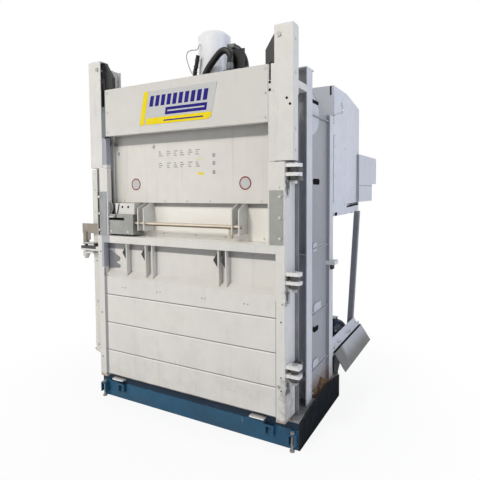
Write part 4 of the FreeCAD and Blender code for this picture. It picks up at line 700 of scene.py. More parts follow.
def centreLine(name, points, resolution=16):
    data = bpy.data.curves.new(name + "Line", "CURVE")
    data.dimensions = "3D"
    spline = data.splines.new("NURBS")
    spline.points.add(len(points) - 1)
    for point, (x, y, z) in zip(spline.points, points):
        point.co = (x, fromFront(y), z, 1)
    spline.order_u = 3
    spline.use_endpoint_u = True
    spline.resolution_u = resolution
    curve = bpy.data.objects.new(name + "Line", data)
    scene.collection.objects.link(curve)
    bpy.context.view_layer.update()
    mesh = bpy.data.meshes.new_from_object(curve.evaluated_get(bpy.context.evaluated_depsgraph_get()))
    spots = [vert.co.copy() for vert in mesh.vertices]
    bpy.data.objects.remove(curve)
    bpy.data.meshes.remove(mesh)
    return spots


def wayAt(spots, i):
    return (spots[min(i + 1, len(spots) - 1)] - spots[max(i - 1, 0)]).normalized()


def sweep(bm, spots, radius, sides):
    rings = []
    for i, spot in enumerate(spots):
        way = wayAt(spots, i)
        side = way.cross(Vector((0, 1, 0))).normalized()
        if i and side.dot(last) < 0:
            side = -side
        last = side
        other = side.cross(way).normalized()
        rings.append([bm.verts.new(spot + side * math.cos(a) * radius + other * math.sin(a) * radius)
                      for a in around(sides)])
    joinRings(bm, rings)


def newShapeTree(name, inputs):
    return newTree(name, "GeometryNodeTree", {"Geometry": "Geometry", **inputs, "Finish": "Material"},
                   {"Geometry": "Geometry"})


def endTree(tree, given, geometry):
    solid = addNode(tree, "GeometryNodeRealizeInstances", {0: geometry})
    coat = addNode(tree, "GeometryNodeSetMaterial", {
        "Geometry": solid.outputs[0], "Material": given["Finish"]})
    addNode(tree, "NodeGroupOutput", {0: coat.outputs[0]})
    return tree


rimShare = 0.75  # of a bolt head's height, the rest is its crown


def makeHeadTree():
    tree, given = newShapeTree("boltHeads", {
        "Radius": 0.010, "Height": 0.007, "Sides": 6, "Washer": 0.014, "Crown": 0.6, "Seed": 1})
    sides, radius, height = given["Sides"], given["Radius"], given["Height"]
    washer = addNode(tree, "GeometryNodeMeshCylinder", {
        "Vertices": 20, "Depth": 0.002, "Radius": given["Washer"]})
    rim = times(tree, height, rimShare)
    head = addNode(tree, "GeometryNodeMeshCone", {
        "Vertices": sides, "Radius Bottom": radius, "Radius Top": radius, "Depth": rim})
    crown = addNode(tree, "GeometryNodeMeshCone", {
        "Vertices": sides, "Radius Bottom": radius, "Radius Top": times(tree, radius, given["Crown"]),
        "Depth": times(tree, height, 1 - rimShare)})
    lift = addNode(tree, "ShaderNodeCombineXYZ", {"Z": rim})
    raised = addNode(tree, "GeometryNodeTransform", {
        "Geometry": crown.outputs["Mesh"], "Translation": lift.outputs[0]})
    parts = addNode(tree, "GeometryNodeJoinGeometry")
    for piece in (raised.outputs[0], head.outputs["Mesh"], washer.outputs["Mesh"]):
        tree.links.new(piece, parts.inputs[0])
    outward = addNode(tree, "GeometryNodeInputNamedAttribute", {"Name": "outward"}, data_type="FLOAT_VECTOR")
    aim = addNode(tree, "FunctionNodeAlignRotationToVector", {
        "Vector": outward.outputs["Attribute"]}, axis="Z")
    chance = addNode(tree, "FunctionNodeRandomValue", {3: math.pi, "Seed": given["Seed"]}, data_type="FLOAT")
    spin = addNode(tree, "ShaderNodeCombineXYZ", {"Z": chance.outputs[1]})
    spun = addNode(tree, "FunctionNodeEulerToRotation", {0: spin.outputs[0]})
    turned = addNode(tree, "FunctionNodeRotateRotation", {
        "Rotation": aim.outputs[0], "Rotate By": spun.outputs[0]}, rotation_space="LOCAL")
    copies = addNode(tree, "GeometryNodeInstanceOnPoints", {
        "Points": given["Geometry"], "Instance": parts.outputs[0], "Rotation": turned.outputs[0]})
    return endTree(tree, given, copies.outputs[0])


def makeBeadTree():
    tree, given = newShapeTree("weldBeads", {"Width": 0.006, "Step": 0.004, "Ripple": 0.35, "Wander": 0.0008})
    path = addNode(tree, "GeometryNodeMeshToCurve", {0: given["Geometry"]})
    even = addNode(tree, "GeometryNodeResampleCurve", {"Curve": path.outputs[0], "Length": given["Step"]},
                   mode="LENGTH")
    cloud = addNode(tree, "ShaderNodeTexNoise", {"Scale": 160}).outputs
    spread = times(tree, calc(tree, "SUBTRACT", cloud["Fac"], 0.5), given["Ripple"])
    wide = times(tree, plus(tree, spread, 1.0), given["Width"])
    centred = addNode(tree, "ShaderNodeVectorMath", {
        0: cloud["Color"], 1: (0.5, 0.5, 0.5)}, operation="SUBTRACT")
    shift = addNode(tree, "ShaderNodeVectorMath", {0: centred.outputs[0], "Scale": given["Wander"]},
                    operation="SCALE")
    moved = addNode(tree, "GeometryNodeSetPosition", {
        "Geometry": even.outputs[0], "Offset": shift.outputs[0]})
    sized = addNode(tree, "GeometryNodeSetCurveRadius", {"Curve": moved.outputs[0], "Radius": wide})
    section = addNode(tree, "GeometryNodeCurvePrimitiveCircle", {"Resolution": 6, "Radius": 1}, mode="RADIUS")
    radius = addNode(tree, "GeometryNodeInputRadius")
    bead = addNode(tree, "GeometryNodeCurveToMesh", {
        "Curve": sized.outputs[0], "Profile Curve": section.outputs[0], "Scale": radius.outputs[0],
        "Fill Caps": True})
    return endTree(tree, given, bead.outputs[0])


def makeScrapTree():
    tree, given = newShapeTree("settledScrap", {
        "Density": 4000.0, "Smallest": 0.002, "Largest": 0.007, "Seed": 3})
    points = addNode(tree, "GeometryNodeDistributePointsOnFaces", {
        "Mesh": given["Geometry"], "Density": given["Density"], "Seed": given["Seed"]})
    chip = addNode(tree, "GeometryNodeMeshIcoSphere", {"Radius": 1, "Subdivisions": 1})
    size = addNode(tree, "FunctionNodeRandomValue", {
        2: given["Smallest"], 3: given["Largest"], "Seed": given["Seed"]}, data_type="FLOAT")
    flat = addNode(tree, "FunctionNodeRandomValue", {0: (0.5, 0.5, 0.15), 1: (2.2, 2.2, 0.7)},
                   data_type="FLOAT_VECTOR")
    scaled = addNode(tree, "ShaderNodeVectorMath", {0: flat.outputs[0], "Scale": size.outputs[1]},
                     operation="SCALE")
    turn = addNode(tree, "FunctionNodeRandomValue", {0: (-0.5, -0.5, 0), 1: (0.5, 0.5, 6.28)},
                   data_type="FLOAT_VECTOR")
    copies = addNode(tree, "GeometryNodeInstanceOnPoints", {
        "Points": points.outputs["Points"], "Instance": chip.outputs["Mesh"], "Scale": scaled.outputs[0],
        "Rotation": turn.outputs[0]})
    both = addNode(tree, "GeometryNodeJoinGeometry")
    for piece in (copies.outputs[0], given["Geometry"]):
        tree.links.new(piece, both.inputs[0])
    return endTree(tree, given, both.outputs[0])


trees = {"heads": makeHeadTree(), "beads": makeBeadTree(), "scrap": makeScrapTree()}


def grown(name, mesh, tree, look, body, **values):
    seedling = bpy.data.objects.new(name + "Seed", mesh)
    scene.collection.objects.link(seedling)
    modifier = seedling.modifiers.new(name, "NODES")
    modifier.node_group = trees[tree]
    items = [item for item in trees[tree].interface.items_tree if item.in_out == "INPUT"]
    sockets = {item.name: item.identifier for item in items}
    for label, value in values.items():
        modifier[sockets[label]] = value
    modifier[sockets["Finish"]] = finish[look]
    bpy.context.view_layer.update()
    result = seedling.evaluated_get(bpy.context.evaluated_depsgraph_get())
    made = bpy.data.meshes.new_from_object(result)
    seedling.modifiers.remove(modifier)
    bpy.data.objects.remove(seedling)
    made.name = name
    return finished(name, made, look, body)


print("building functions and node trees ready")

# clamps: belt run, height, shift of the front and the back end from the belt's edges, and finish
beltForm = {
    "sides": {"Left": -1, "Right": 1}, "thick": 0.003, "steps": 24, "wrapSteps": 28, "smooth": 40,
    "jaw": {"apart": 0.005, "half": 0.003, "round": 0.0008},
    "clamps": {"beltClamp": ("Inner", 0.034, -0.002, 0.002, "iron"),
               "weightClamp": ("Outer", 0.030, 0.0, -0.001, "steel")},
}


def addStrip(bm, line, thick, near, far):
    rings = []
    for i, (x, z) in enumerate(line):
        before, after = line[max(i - 1, 0)], line[min(i + 1, len(line) - 1)]
        way = Vector((after[0] - before[0], after[1] - before[1])).normalized() * thick / 2
        rings.append([bm.verts.new(spot) for spot in (
            (x - way.y, near, z + way.x), (x + way.y, near, z - way.x),
            (x + way.y, far, z - way.x), (x - way.y, far, z + way.x))])
    joinRings(bm, rings)


def makeBelt(s, name, side):
    belt, weight = "belt_" + name.lower(), "weight_" + name.lower()
    low, high = edges(belt)
    axisLow, axisHigh = edges("pulley_axles")
    level = (axisLow.z + axisHigh.z) / 2
    inner = min(abs(low.x), abs(high.x)) + s["thick"] / 2
    outer = max(abs(low.x), abs(high.x)) - s["thick"] / 2
    middle, reach = (inner + outer) / 2, (outer - inner) / 2
    angles = [math.pi * i / s["wrapSteps"] for i in range(s["wrapSteps"] + 1)]
    arc = [(side * (middle - reach * math.cos(a)), level + reach * math.sin(a)) for a in angles]
    weightTop = edges("counterweight_" + name.lower())[1].z
    runs = {"Inner": (side * inner, low.z, "flap"), "Outer": (side * outer, weightTop, weight)}
    for part in ("Wrap", "Inner", "Outer"):
        bm = bmesh.new()
        if part == "Wrap":
            line = arc
        else:
            x, bottom, mover = runs[part]
            line = [(x, level + (bottom - level) * i / s["steps"]) for i in range(s["steps"] + 1)]
        addStrip(bm, line, s["thick"], low.y, high.y)
        body = "frame" if part == "Wrap" else None
        strap = fromBmesh("belt" + part + name, bm, "rubber", body, s["smooth"])
        if part != "Wrap":
            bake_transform(strap)
        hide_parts(belt)
    jaw = s["jaw"]
    for clamp, (part, tall, near, far, look) in s["clamps"].items():
        centre, foot, mover = runs[part]
        bm = bmesh.new()
        for x in (centre - jaw["apart"], centre + jaw["apart"]):
            addBar(bm, (x - jaw["half"], low.y + near, foot), (x + jaw["half"], high.y + far, foot + tall),
                   jaw["round"])
        fromBmesh(clamp + name, bm, look, mover)


for name, side in beltForm["sides"].items():
    makeBelt(beltForm, name, side)

# routes chosen: X, metres behind the door's front, and height
wireForms = {
    "frontHose": {"radius": 0.025, "points": [
        (0, 0.330, 2.4556), (0, 0.330, 2.530), (0.038, 0.330, 2.600), (0.096, 0.330, 2.660),
        (0.158, 0.331, 2.717), (0.208, 0.332, 2.713), (0.240, 0.332, 2.674), (0.232, 0.332, 2.616),
        (0.232, 0.332, 2.5603)]},
    "sideHose": {"radius": 0.021, "points": [
        (0.131, 0.490, 2.790), (0.178, 0.490, 2.790), (0.226, 0.488, 2.758), (0.264, 0.484, 2.706),
        (0.284, 0.479, 2.656), (0.290, 0.476, 2.610), (0.290, 0.476, 2.5603)]},
    "barrelWire": {"radius": 0.0032, "points": [
        (-0.050, 0.368, 2.802), (-0.050, 0.356, 2.802), (-0.050, 0.345, 2.790), (-0.058, 0.336, 2.756),
        (-0.109, 0.336, 2.766), (-0.151, 0.336, 2.758), (-0.164, 0.336, 2.721), (-0.148, 0.336, 2.666),
        (-0.122, 0.336, 2.606), (-0.100, 0.334, 2.575), (-0.084, 0.332, 2.556)]},
    "switchCable": {"radius": 0.004, "points": [
        (-0.672, 0.060, 1.5083), (-0.672, 0.060, 1.580), (-0.6303, 0.060, 1.580)]},
    "switchLoop": {"radius": 0.0045, "points": [
        (-0.629, 0.050, 1.545), (-0.650, 0.048, 1.545), (-0.676, 0.030, 1.566), (-0.685, 0.020, 1.596),
        (-0.670, 0.014, 1.608), (-0.652, 0.014, 1.578), (-0.660, 0.018, 1.536), (-0.680, 0.022, 1.508),
        (-0.684, 0.026, 1.490), (-0.676, 0.020, 1.4872), (-0.668, 0.012, 1.4872)]},
    "innerLoop": {"radius": 0.0035, "points": [
        (-0.629, 0.060, 1.526), (-0.652, 0.058, 1.528), (-0.676, 0.040, 1.556), (-0.670, 0.030, 1.588),
        (-0.655, 0.032, 1.560), (-0.668, 0.036, 1.520), (-0.672, 0.040, 1.5075)]},
    "coverCable": {"radius": 0.003, "points": [
        (-0.590, 0.030, 1.5935), (-0.590, 0.020, 1.590), (-0.594, 0.0185, 1.572), (-0.601, 0.0185, 1.545),
        (-0.608, 0.017, 1.516), (-0.613, 0.006, 1.502), (-0.616, 0.0045, 1.486), (-0.616, 0.0065, 1.478)]},
}
# turned shapes: radius as a share of the hose's, height in metres
sleeveForm = {
    "nut": {"start": 0.0, "sides": 6, "profile": [(0.8, 0), (1.13, 0.0015), (1.13, 0.012), (0.95, 0.014)]},
    "sleeve": {"start": 0.014, "sides": 24, "profile": [
        (0.9, 0), (1.10, 0.001), (1.12, 0.010), (1.06, 0.012), (1.12, 0.016), (1.12, 0.026), (1.06, 0.028),
        (1.12, 0.032), (1.10, 0.040), (0.98, 0.043)]},
}


def scaledProfile(profile, radius):
    return [(radius * share, height) for share, height in profile]


hoseSides = 20
hoseSmooth = 40  # degrees, past which an edge stays sharp
sleeveSmooth = 30


def makeHose(name, s, body="frame", look="hose"):
    spots = centreLine(name, s["points"])
    bm = bmesh.new()
    sweep(bm, spots, s["radius"], hoseSides)
    hose = fromBmesh(name, bm, look, body, hoseSmooth)
    return hose, spots


def makeHoseEnds(name, radius, spots, s):
    bm = bmesh.new()
    for spot, other in ((spots[0], spots[1]), (spots[-1], spots[-2])):
        way = (other - spot).normalized()
        for part in s.values():
            profile = scaledProfile(part["profile"], radius)
            addTurned(bm, spot + way * part["start"], way, profile, part["sides"])
    fromBmesh(name + "Sleeves", bm, "iron", "frame", sleeveSmooth)


for name in ("frontHose", "sideHose"):
    hose, spots = makeHose(name, wireForms[name])
    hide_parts("press_hoses")
    makeHoseEnds(name, wireForms[name]["radius"], spots, sleeveForm)

bundleForm = {
    "radius": 0.0155, "strand": 0.0047, "strands": 6, "strandSides": 8, "pitch": 0.17,
    "coreOver": 0.0005, "coreSides": 12, "smooth": 50,
    "points": [(-0.078, 0.336, 2.4556), (-0.078, 0.336, 2.520), (-0.084, 0.333, 2.590),
               (-0.066, 0.338, 2.656), (-0.054, 0.336, 2.716)],
    "ties": (0.10, 0.30, 0.50, 0.70, 0.90), "tieSides": 16, "tieSmooth": 40,
    "tieProfile": [(0.9, 0), (1.12, 0.001), (1.2, 0.006), (1.12, 0.011), (0.9, 0.012)],
}


def makeBundle(s):
    spots = centreLine("cableBundle", s["points"])
    strand, pitch = s["strand"], s["radius"] - s["strand"]
    bm = bmesh.new()
    sweep(bm, spots, s["radius"] - 2 * strand + s["coreOver"], s["coreSides"])
    for k in range(s["strands"]):
        line, walked = [], 0.0
        for i, spot in enumerate(spots):
            way = wayAt(spots, i)
            side = way.cross(Vector((0, 1, 0))).normalized()
            walked += (spot - spots[i - 1]).length if i else 0.0
            angle = 2 * math.pi * (k / s["strands"] + walked / s["pitch"])
            line.append(spot + (side * math.cos(angle) + side.cross(way) * math.sin(angle)) * pitch)
        sweep(bm, line, strand, s["strandSides"])
    bundle = fromBmesh("cableBundle", bm, "hose", "frame", s["smooth"])
    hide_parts("cable_bundle")
    bm = bmesh.new()
    for share in s["ties"]:
        i = int(share * (len(spots) - 2))
        way = (spots[i + 1] - spots[i]).normalized()
        addTurned(bm, spots[i], way, scaledProfile(s["tieProfile"], s["radius"]), s["tieSides"])
    fromBmesh("bundleTies", bm, "black", "frame", s["tieSmooth"])


makeBundle(bundleForm)
makeHose("barrelWire", wireForms["barrelWire"], look="cable")
cable, spots = makeHose("switchCable", wireForms["switchCable"], "flap")
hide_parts("switch_cables")
makeHose("switchLoop", wireForms["switchLoop"], "flap", "cable")
for name in ("innerLoop", "coverCable"):
    makeHose(name, wireForms[name], "flap")
print("belts, hoses and cables ready")

front = (0, -1, 0)
rear = (0, 1, 0)
right = (1, 0, 0)
left = (-1, 0, 0)
upward = (0, 0, 1)
bothSides = (-1, 1)
quarters = [math.pi / 4 * i for i in (1, 3, 5, 7)]
motorX, motorZ, motorRing = 0.664, 0.348, 0.085  # the bolt circle on the motor's end

# size is the head's radius and height and the washer's radius
# body, finish and sides are frame, steel and 6 where none is given
boltForms = {
    "headerScrews": {"look": "creamClean", "size": (0.007, 0.005, 0.010), "spots":
        [(x, 0.0, z, front) for x in (-0.675, 0.675) for z in (2.14, 2.29, 2.44)]},
    "postDots": {"look": "holeShade", "size": (0.0075, 0.003, 0.008), "sides": 12, "spots":
        [(0.820, 0.0, 2.243, front), (0.841, 0.0, 2.206, front), (0.706, 0.002, 2.351, front),
         (0.706, 0.002, 2.305, front), (-0.700, 0.002, 2.098, front)]},
    "postSideScrews": {"size": (0.007, 0.005, 0.010), "spots":
        [(side * 0.862, 0.040, z, (side, 0, 0)) for side in bothSides for z in (1.93, 2.06, 2.40, 2.60)]},
    "flangeBolts": {"size": (0.019, 0.016, 0.025), "spots":
        [(x, 0.490 + y, 2.4553, upward) for x in (-0.145, 0.145) for y in (-0.145, 0.145)]},
    "armBolts": {"size": (0.009, 0.008, 0.013), "spots":
        [(side * x, 0.088, z, rear) for side in bothSides for x in (0.76, 0.84) for z in (2.31, 2.66)]},
    "guardScrews": {"look": "black", "size": (0.006, 0.004, 0.009), "spots":
        [(side * x, 0.044, z, front) for side in bothSides for x, z in ((0.690, 2.485), (0.722, 2.60))]},
    "latchPostBolts": {"size": (0.007, 0.005, 0.010), "spots":
        [(-0.894, 0.064, z, front) for z in (0.42, 0.78, 1.12, 1.52, 1.70, 1.83)]},
    "cabinetScrews": {"size": (0.006, 0.004, 0.009), "spots":
        [(0.752, y, z, right)
         for y, z in ((2.10, 1.70), (2.10, 1.98), (2.60, 1.98), (2.10, 1.60), (2.60, 1.60))] +
        [(0.452, y, z, left) for y, z in ((2.10, 1.98), (2.60, 1.98), (2.10, 1.60), (2.60, 1.60))]},
    "hoodScrews": {"size": (0.007, 0.004, 0.010), "spots":
        [(side * 0.810, y, z, (side, 0, 0)) for side in bothSides for y, z in
         ((1.02, 1.56), (1.02, 1.80), (1.02, 2.04), (1.31, 1.56), (1.31, 2.04))]},
    "motorBolts": {"size": (0.008, 0.006, 0.011), "spots":
        [(motorX + motorRing * math.cos(a), 1.350, motorZ + motorRing * math.sin(a), front)
         for a in quarters]},
    "railBolts": {"size": (0.011, 0.009, 0.016), "spots":
        [(side * 0.840, y, 0.410, (side, 0, 0)) for side in bothSides for y in (0.93, 1.10, 1.40, 1.70)]},
    "valveScrews": {"size": (0.008, 0.008, 0.010), "sides": 12, "spots":
        [(x, 0.295, z, front) for x in (0.205, 0.265) for z in (2.45, 2.535)]},
    "doorRivets": {"body": "door", "look": "strut", "size": (0.0036, 0.003, 0.0045), "sides": 12, "spots":
        [(x + dx, 0.0, 0.942, front) for x in (-0.537, -0.199, 0.196, 0.530) for dx in (-0.014, 0.014)]},
    "stileDots": {"body": "door", "look": "holeShade", "size": (0.004, 0.003, 0.005), "sides": 12, "spots":
        [(0.779, 0.0, z, front) for z in (0.854, 0.498, 0.413)] +
        [(-0.779, 0.0, z, front) for z in (1.21, 0.72, 0.36)]},
    "coverScrews": {"body": "flap", "look": "holeShade", "size": (0.0065, 0.004, 0.009), "sides": 12, "spots":
        [(x, 0.022, 1.564, front) for x in (-0.558, -0.499)]},
    "boxScrews": {"body": "flap", "size": (0.007, 0.005, 0.010), "spots":
        [(x, 0.008, 1.374, front) for x in (-0.494, -0.664)]},
    "flapRivets": {"body": "flap", "look": "cream", "size": (0.006, 0.003, 0.008), "sides": 12, "spots":
        [(x, 0.0923, 1.612, front) for x in (-0.60, -0.20, 0.0, 0.20, 0.60)] +
        [(x, 0.1343, 1.36, front) for x in (-0.25, 0.05, 0.30, 0.60)]},
}


def makeBolts(name, s):
    mesh = bpy.data.meshes.new(name + "Spots")
    mesh.from_pydata([(x, fromFront(y), z) for x, y, z, way in s["spots"]], [], [])
    outward = mesh.attributes.new("outward", "FLOAT_VECTOR", "POINT")
    for item, spot in zip(outward.data, s["spots"]):
        item.vector = spot[3]
    radius, height, washer = s["size"]
    grown(name, mesh, "heads", s.get("look", "steel"), s.get("body", "frame"), Radius=radius, Height=height,
          Washer=washer, Sides=s.get("sides", 6))


for name, form in boltForms.items():
    makeBolts(name, form)
print("bolts and screws ready:", sum(len(form["spots"]) for form in boltForms.values()))

# weld seams from end to end
weldForms = {
    "frameWelds": {"body": "frame", "look": "cream", "width": 0.004, "lines":
        [[(side * 0.8145, 0.405, z), (side * 0.8145, 0.794, z)] for side in bothSides
         for z in (0.390, 0.798, 1.272, 2.213, 0.200)] +
        [[(side * 0.835, 0.298, 0.196), (side * 0.835, 0.402, 0.196)] for side in bothSides] +
        [[(side * 0.839, 0.8855, 0.344), (side * 0.839, 0.8855, 0.436)] for side in bothSides]},
    "headWelds": {"body": "frame", "look": "cream", "width": 0.005, "lines":
        [[(0.340, y, 2.4015), (-0.340, y, 2.4015)] for y in (0.279, 0.701)] +
        [[(side * 0.698, y, 2.21), (side * 0.698, y, 2.39)] for side in bothSides for y in (0.278, 0.702)]},
    "hingeWelds": {"body": "door", "look": "cream", "width": 0.004, "lines":
        [[(0.806, y, z), (0.806, y, z - 0.022)] for z in (1.848, 1.172, 0.580) for y in (0.010, 0.070)]},
    "bracketWelds": {"body": "flap", "look": "cream", "width": 0.0035, "lines":
        [[(x, 0.133, 1.39), (x, 0.133, 1.59)] for x in (-0.404, -0.341, 0.412, 0.476)]},
    "strutWelds": {"body": "frame", "look": "strut", "width": 0.0045, "lines":
        [[(side * 0.736, y, 1.468), (side * 0.784, y, 1.468)] for side in bothSides for y in (1.692, 1.98)]},
}


def makeWelds(name, s):
    mesh = bpy.data.meshes.new(name + "Lines")
    spots = [(x, fromFront(y), z) for line in s["lines"] for x, y, z in line]
    mesh.from_pydata(spots, [(i, i + 1) for i in range(0, len(spots), 2)], [])
    grown(name, mesh, "beads", s["look"], s["body"], Width=s["width"])


for name, form in weldForms.items():
    makeWelds(name, form)
print("weld seams ready")

# header board: plain fields of colour
boardForm = {
    "thick": 0.0015,
    "ink": 0.0006,
    "thinInk": 0.0004,
    "ground": [(-0.348, 2.165), (0.247, 2.165), (0.277, 2.185), (0.326, 2.402), (-0.300, 2.402)],
    "yellow": [[(-0.348, 2.165), (-0.306, 2.165), (-0.258, 2.402), (-0.300, 2.402)],
               [(-0.290, 2.165), (0.250, 2.165), (0.276, 2.184), (0.282, 2.212), (-0.282, 2.212)]],
    "bars": {"start": -0.254, "count": 10, "step": 0.0515, "wide": 0.034, "low": 2.293, "high": 2.368,
             "slant": 0.015},
    "blueField": [(-0.113, 2.226), (0.238, 2.226), (0.247, 2.277), (-0.104, 2.277)],
    "blueLine": [(-0.126, 2.182), (0.212, 2.182), (0.214, 2.191), (-0.124, 2.191)],
    "paleLine": [(-0.090, 2.2465), (0.222, 2.2465), (0.224, 2.2565), (-0.088, 2.2565)],
}


def flatPiece(name, look, body, shapes):
    bm = bmesh.new()
    for corners, y, thick in shapes:
        addPlate(bm, [(x, y, z) for x, z in corners], front, thick)
    fromBmesh(name, bm, look, body)


def makeBoard(s):
    back, ink, thin = fromFront(0), s["ink"], s["thinInk"]
    face = back - s["thick"]
    row = s["bars"]
    blue = []
    for i in range(row["count"]):
        x = row["start"] + i * row["step"]
        corners = [(x, row["low"]), (x + row["wide"], row["low"]),
                   (x + row["wide"] + row["slant"], row["high"]), (x + row["slant"], row["high"])]
        blue.append((corners, face, ink))
    blue += [(s["blueField"], face, ink), (s["blueLine"], face - ink, thin)]
    flatPiece("boardGround", "boardGrey", "frame", [(s["ground"], back, s["thick"])])
    flatPiece("boardYellow", "boardYellow", "frame", [(shape, face, ink) for shape in s["yellow"]])
    flatPiece("boardBlue", "boardBlue", "frame", blue)
    flatPiece("boardPale", "boardGrey", "frame", [(s["paleLine"], face - ink, thin)])


makeBoard(boardForm)

# flap marks: plain bars, small fields, one diamond and two discs
markForm = {
    "ink": 0.0004,
    "discInk": 0.0003,
    "signs": {"levels": (1.961, 1.875), "across": (-0.231, -0.156, -0.092, -0.035, 0.037, 0.101),
              "size": 0.036, "bars": 3, "barTall": 0.2, "barStep": 0.42, "shortest": 0.45, "longer": 0.25},
    "fields": [(0.235, 1.931), (0.235, 1.876), (0.235, 1.813), (-0.652, 1.979)],
    "fieldSize": (0.022, 0.026),
    "diamond": {"centre": (-0.296, 2.015), "reach": 0.020, "narrow": 0.8},
    "pale": (0.118, 1.908, 0.052, 0.014),
    "orange": (0.126, 1.806, 0.046, 0.016),
    "discs": [(-0.479, 1.737), (0.481, 1.733)],
    "discRadius": 0.046,
    "discInner": 0.80,
    "discSides": 40,
}


def fieldShape(x, z, wide, tall):
    return [(x - wide / 2, z - tall / 2), (x + wide / 2, z - tall / 2), (x + wide / 2, z + tall / 2),
            (x - wide / 2, z + tall / 2)]


def makeMarks(s):
    face, ink, signs = edges("flap_panel")[0].y, s["ink"], s["signs"]
    size = signs["size"]
    shapes = []
    for i, z in enumerate(signs["levels"]):
        for j, x in enumerate(signs["across"]):
            for k in range(signs["bars"]):
                start, top = x - size / 2, z + size * (0.5 - k * signs["barStep"])
                end = start + size * (signs["shortest"] + signs["longer"] * ((i + j + k) % signs["bars"]))
                low = top - size * signs["barTall"]
                shapes.append([(start, low), (end, low), (end, top), (start, top)])
    shapes += [fieldShape(x, z, *s["fieldSize"]) for x, z in s["fields"]]
    (x, z), reach = s["diamond"]["centre"], s["diamond"]["reach"]
    half = reach * s["diamond"]["narrow"]
    shapes.append([(x, z - reach), (x + half, z), (x, z + reach), (x - half, z)])
    flatPiece("flapMarksGrey", "markGrey", "flap", [(shape, face, ink) for shape in shapes])
    flatPiece("flapMarksPale", "markPale", "flap", [(fieldShape(*s["pale"]), face, ink)])
    flatPiece("flapMarksOrange", "boardYellow", "flap", [(fieldShape(*s["orange"]), face, ink)])
    for name, look, radius, y, thick in (
            ("flapDiscRims", "discRed", s["discRadius"], face, ink),
            ("flapDiscs", "boardGrey", s["discRadius"] * s["discInner"], face - ink, s["discInk"])):
        flatPiece(name, look, "flap", [([(x + radius * math.cos(a), z + radius * math.sin(a))
                                         for a in around(s["discSides"])], y, thick) for x, z in s["discs"]])


makeMarks(markForm)
print("boards and marks ready")


def pair(x, half, low, high):
    return [((side * x - half, *low), (side * x + half, *high)) for side in bothSides]


# small plates and strips as boxes, each from its low to its high corner
trimForms = {
    "slotCheek": {"body": "frame", "look": "cream", "round": 0.001, "boxes":
        [((0.7135, 0.002, 2.297), (0.7377, 0.006, 2.4625)), ((0.6945, 0.002, 2.297), (0.7000, 0.006, 2.4625)),
         ((0.7000, 0.002, 2.297), (0.7135, 0.006, 2.362))]},
    # on the left, black and dark blue-grey plates where the channel's inside lies in shade: painted shade
    "channelTop": {"body": "frame", "look": "holeShade", "round": 0.0006, "boxes":
        [((-0.7377, 0.006, 2.338), (-0.7060, 0.009, 2.4625))]},
    "channelLow": {"body": "frame", "look": "channel", "round": 0.0006, "boxes":
        [((-0.7377, 0.006, 2.297), (-0.6945, 0.009, 2.338)),
         ((-0.7060, 0.006, 2.338), (-0.6945, 0.009, 2.4625))]},
    # a black strip of painted shade in the lock box's slot
    "boxSlot": {"body": "flap", "look": "holeShade", "round": 0, "boxes":
        [((-0.684, 0.0055, 1.463), (-0.532, 0.008, 1.4815))]},
    "boxSlotLip": {"body": "flap", "look": "steel", "round": 0.001, "boxes":
        [((-0.690, 0.004, 1.4815), (-0.640, 0.008, 1.489))]},
    # black strips of painted shade in the seams and the slot of the hood and cabinet
    "hoodTrim": {"body": "frame", "look": "holeShade", "round": 0.0006, "boxes":
        pair(0.7855, 0.0065, (0.983, 2.445), (0.985, 2.516)) +
        [((0.806, 1.020, 1.4705), (0.8118, 1.090, 1.498)), ((0.7519, 2.027, 1.566), (0.7528, 2.046, 2.042)),
         ((0.7519, 2.060, 1.727), (0.7526, 2.648, 1.7305))]},
    "lugPlates": {"body": "frame", "look": "hingePaint", "round": 0.002, "boxes":
        pair(0.848, 0.036, (0.790, 1.104), (0.880, 1.136))},
    "lugBrackets": {"body": "frame", "look": "black", "round": 0.001, "boxes":
        pair(0.849, 0.011, (0.812, 1.066), (0.862, 1.104))},
    "hoodEdges": {"body": "frame", "look": "strut", "round": 0.0004, "boxes":
        pair(0.8106, 0.0006, (0.9862, 1.474), (0.9915, 2.440))},
    # black strips of painted shade in the gaps above the flared guards
    "flareGaps": {"body": "frame", "look": "holeShade", "round": 0.0006, "boxes":
        pair(0.848, 0.0075, (0.902, 0.372), (1.745, 0.379))},
    # lavender strips over the gaps beside the flap: painted shade
    "flapGapShades": {"body": "frame", "look": "gusset", "round": 0.0008, "boxes":
        pair(0.703, 0.013, (0.0855, 1.602), (0.0900, 2.032))},
    "doorTopCap": {"body": "door", "look": "doorPaint", "round": 0.0008, "boxes":
        [((-0.7420, 0.0887, 1.331), (0.7420, 0.1606, 1.3374))]},
    "terminalBox": {"body": "frame", "look": "navy", "round": 0.004, "boxes":
        [((0.610, 1.410, 0.440), (0.700, 1.500, 0.492)), ((0.606, 1.406, 0.492), (0.704, 1.504, 0.500)),
         ((0.640, 1.500, 0.455), (0.668, 1.520, 0.480))]},
}


def makeTrim(name, s):
    bm = bmesh.new()
    for low, high in s["boxes"]:
        addBar(bm, (low[0], fromFront(low[1]), low[2]), (high[0], fromFront(high[1]), high[2]), s["round"])
    fromBmesh(name, bm, s["look"], s["body"])


for name, form in trimForms.items():
    makeTrim(name, form)


def addSidePlate(bm, side, x, outline, thick):
    addPlate(bm, [(side * x, fromFront(y), z) for y, z in outline], (side, 0, 0), thick)


# black slots in the column webs: painted shade inside the openings
# slots: centre behind the front, height, half length and end radius
webSlotForm = {"slots": ((0.566, 1.744, 0.066, 0.0215), (0.562, 0.662, 0.050, 0.0195)), "web": 0.8131,
               "thick": 0.0012, "steps": 10}


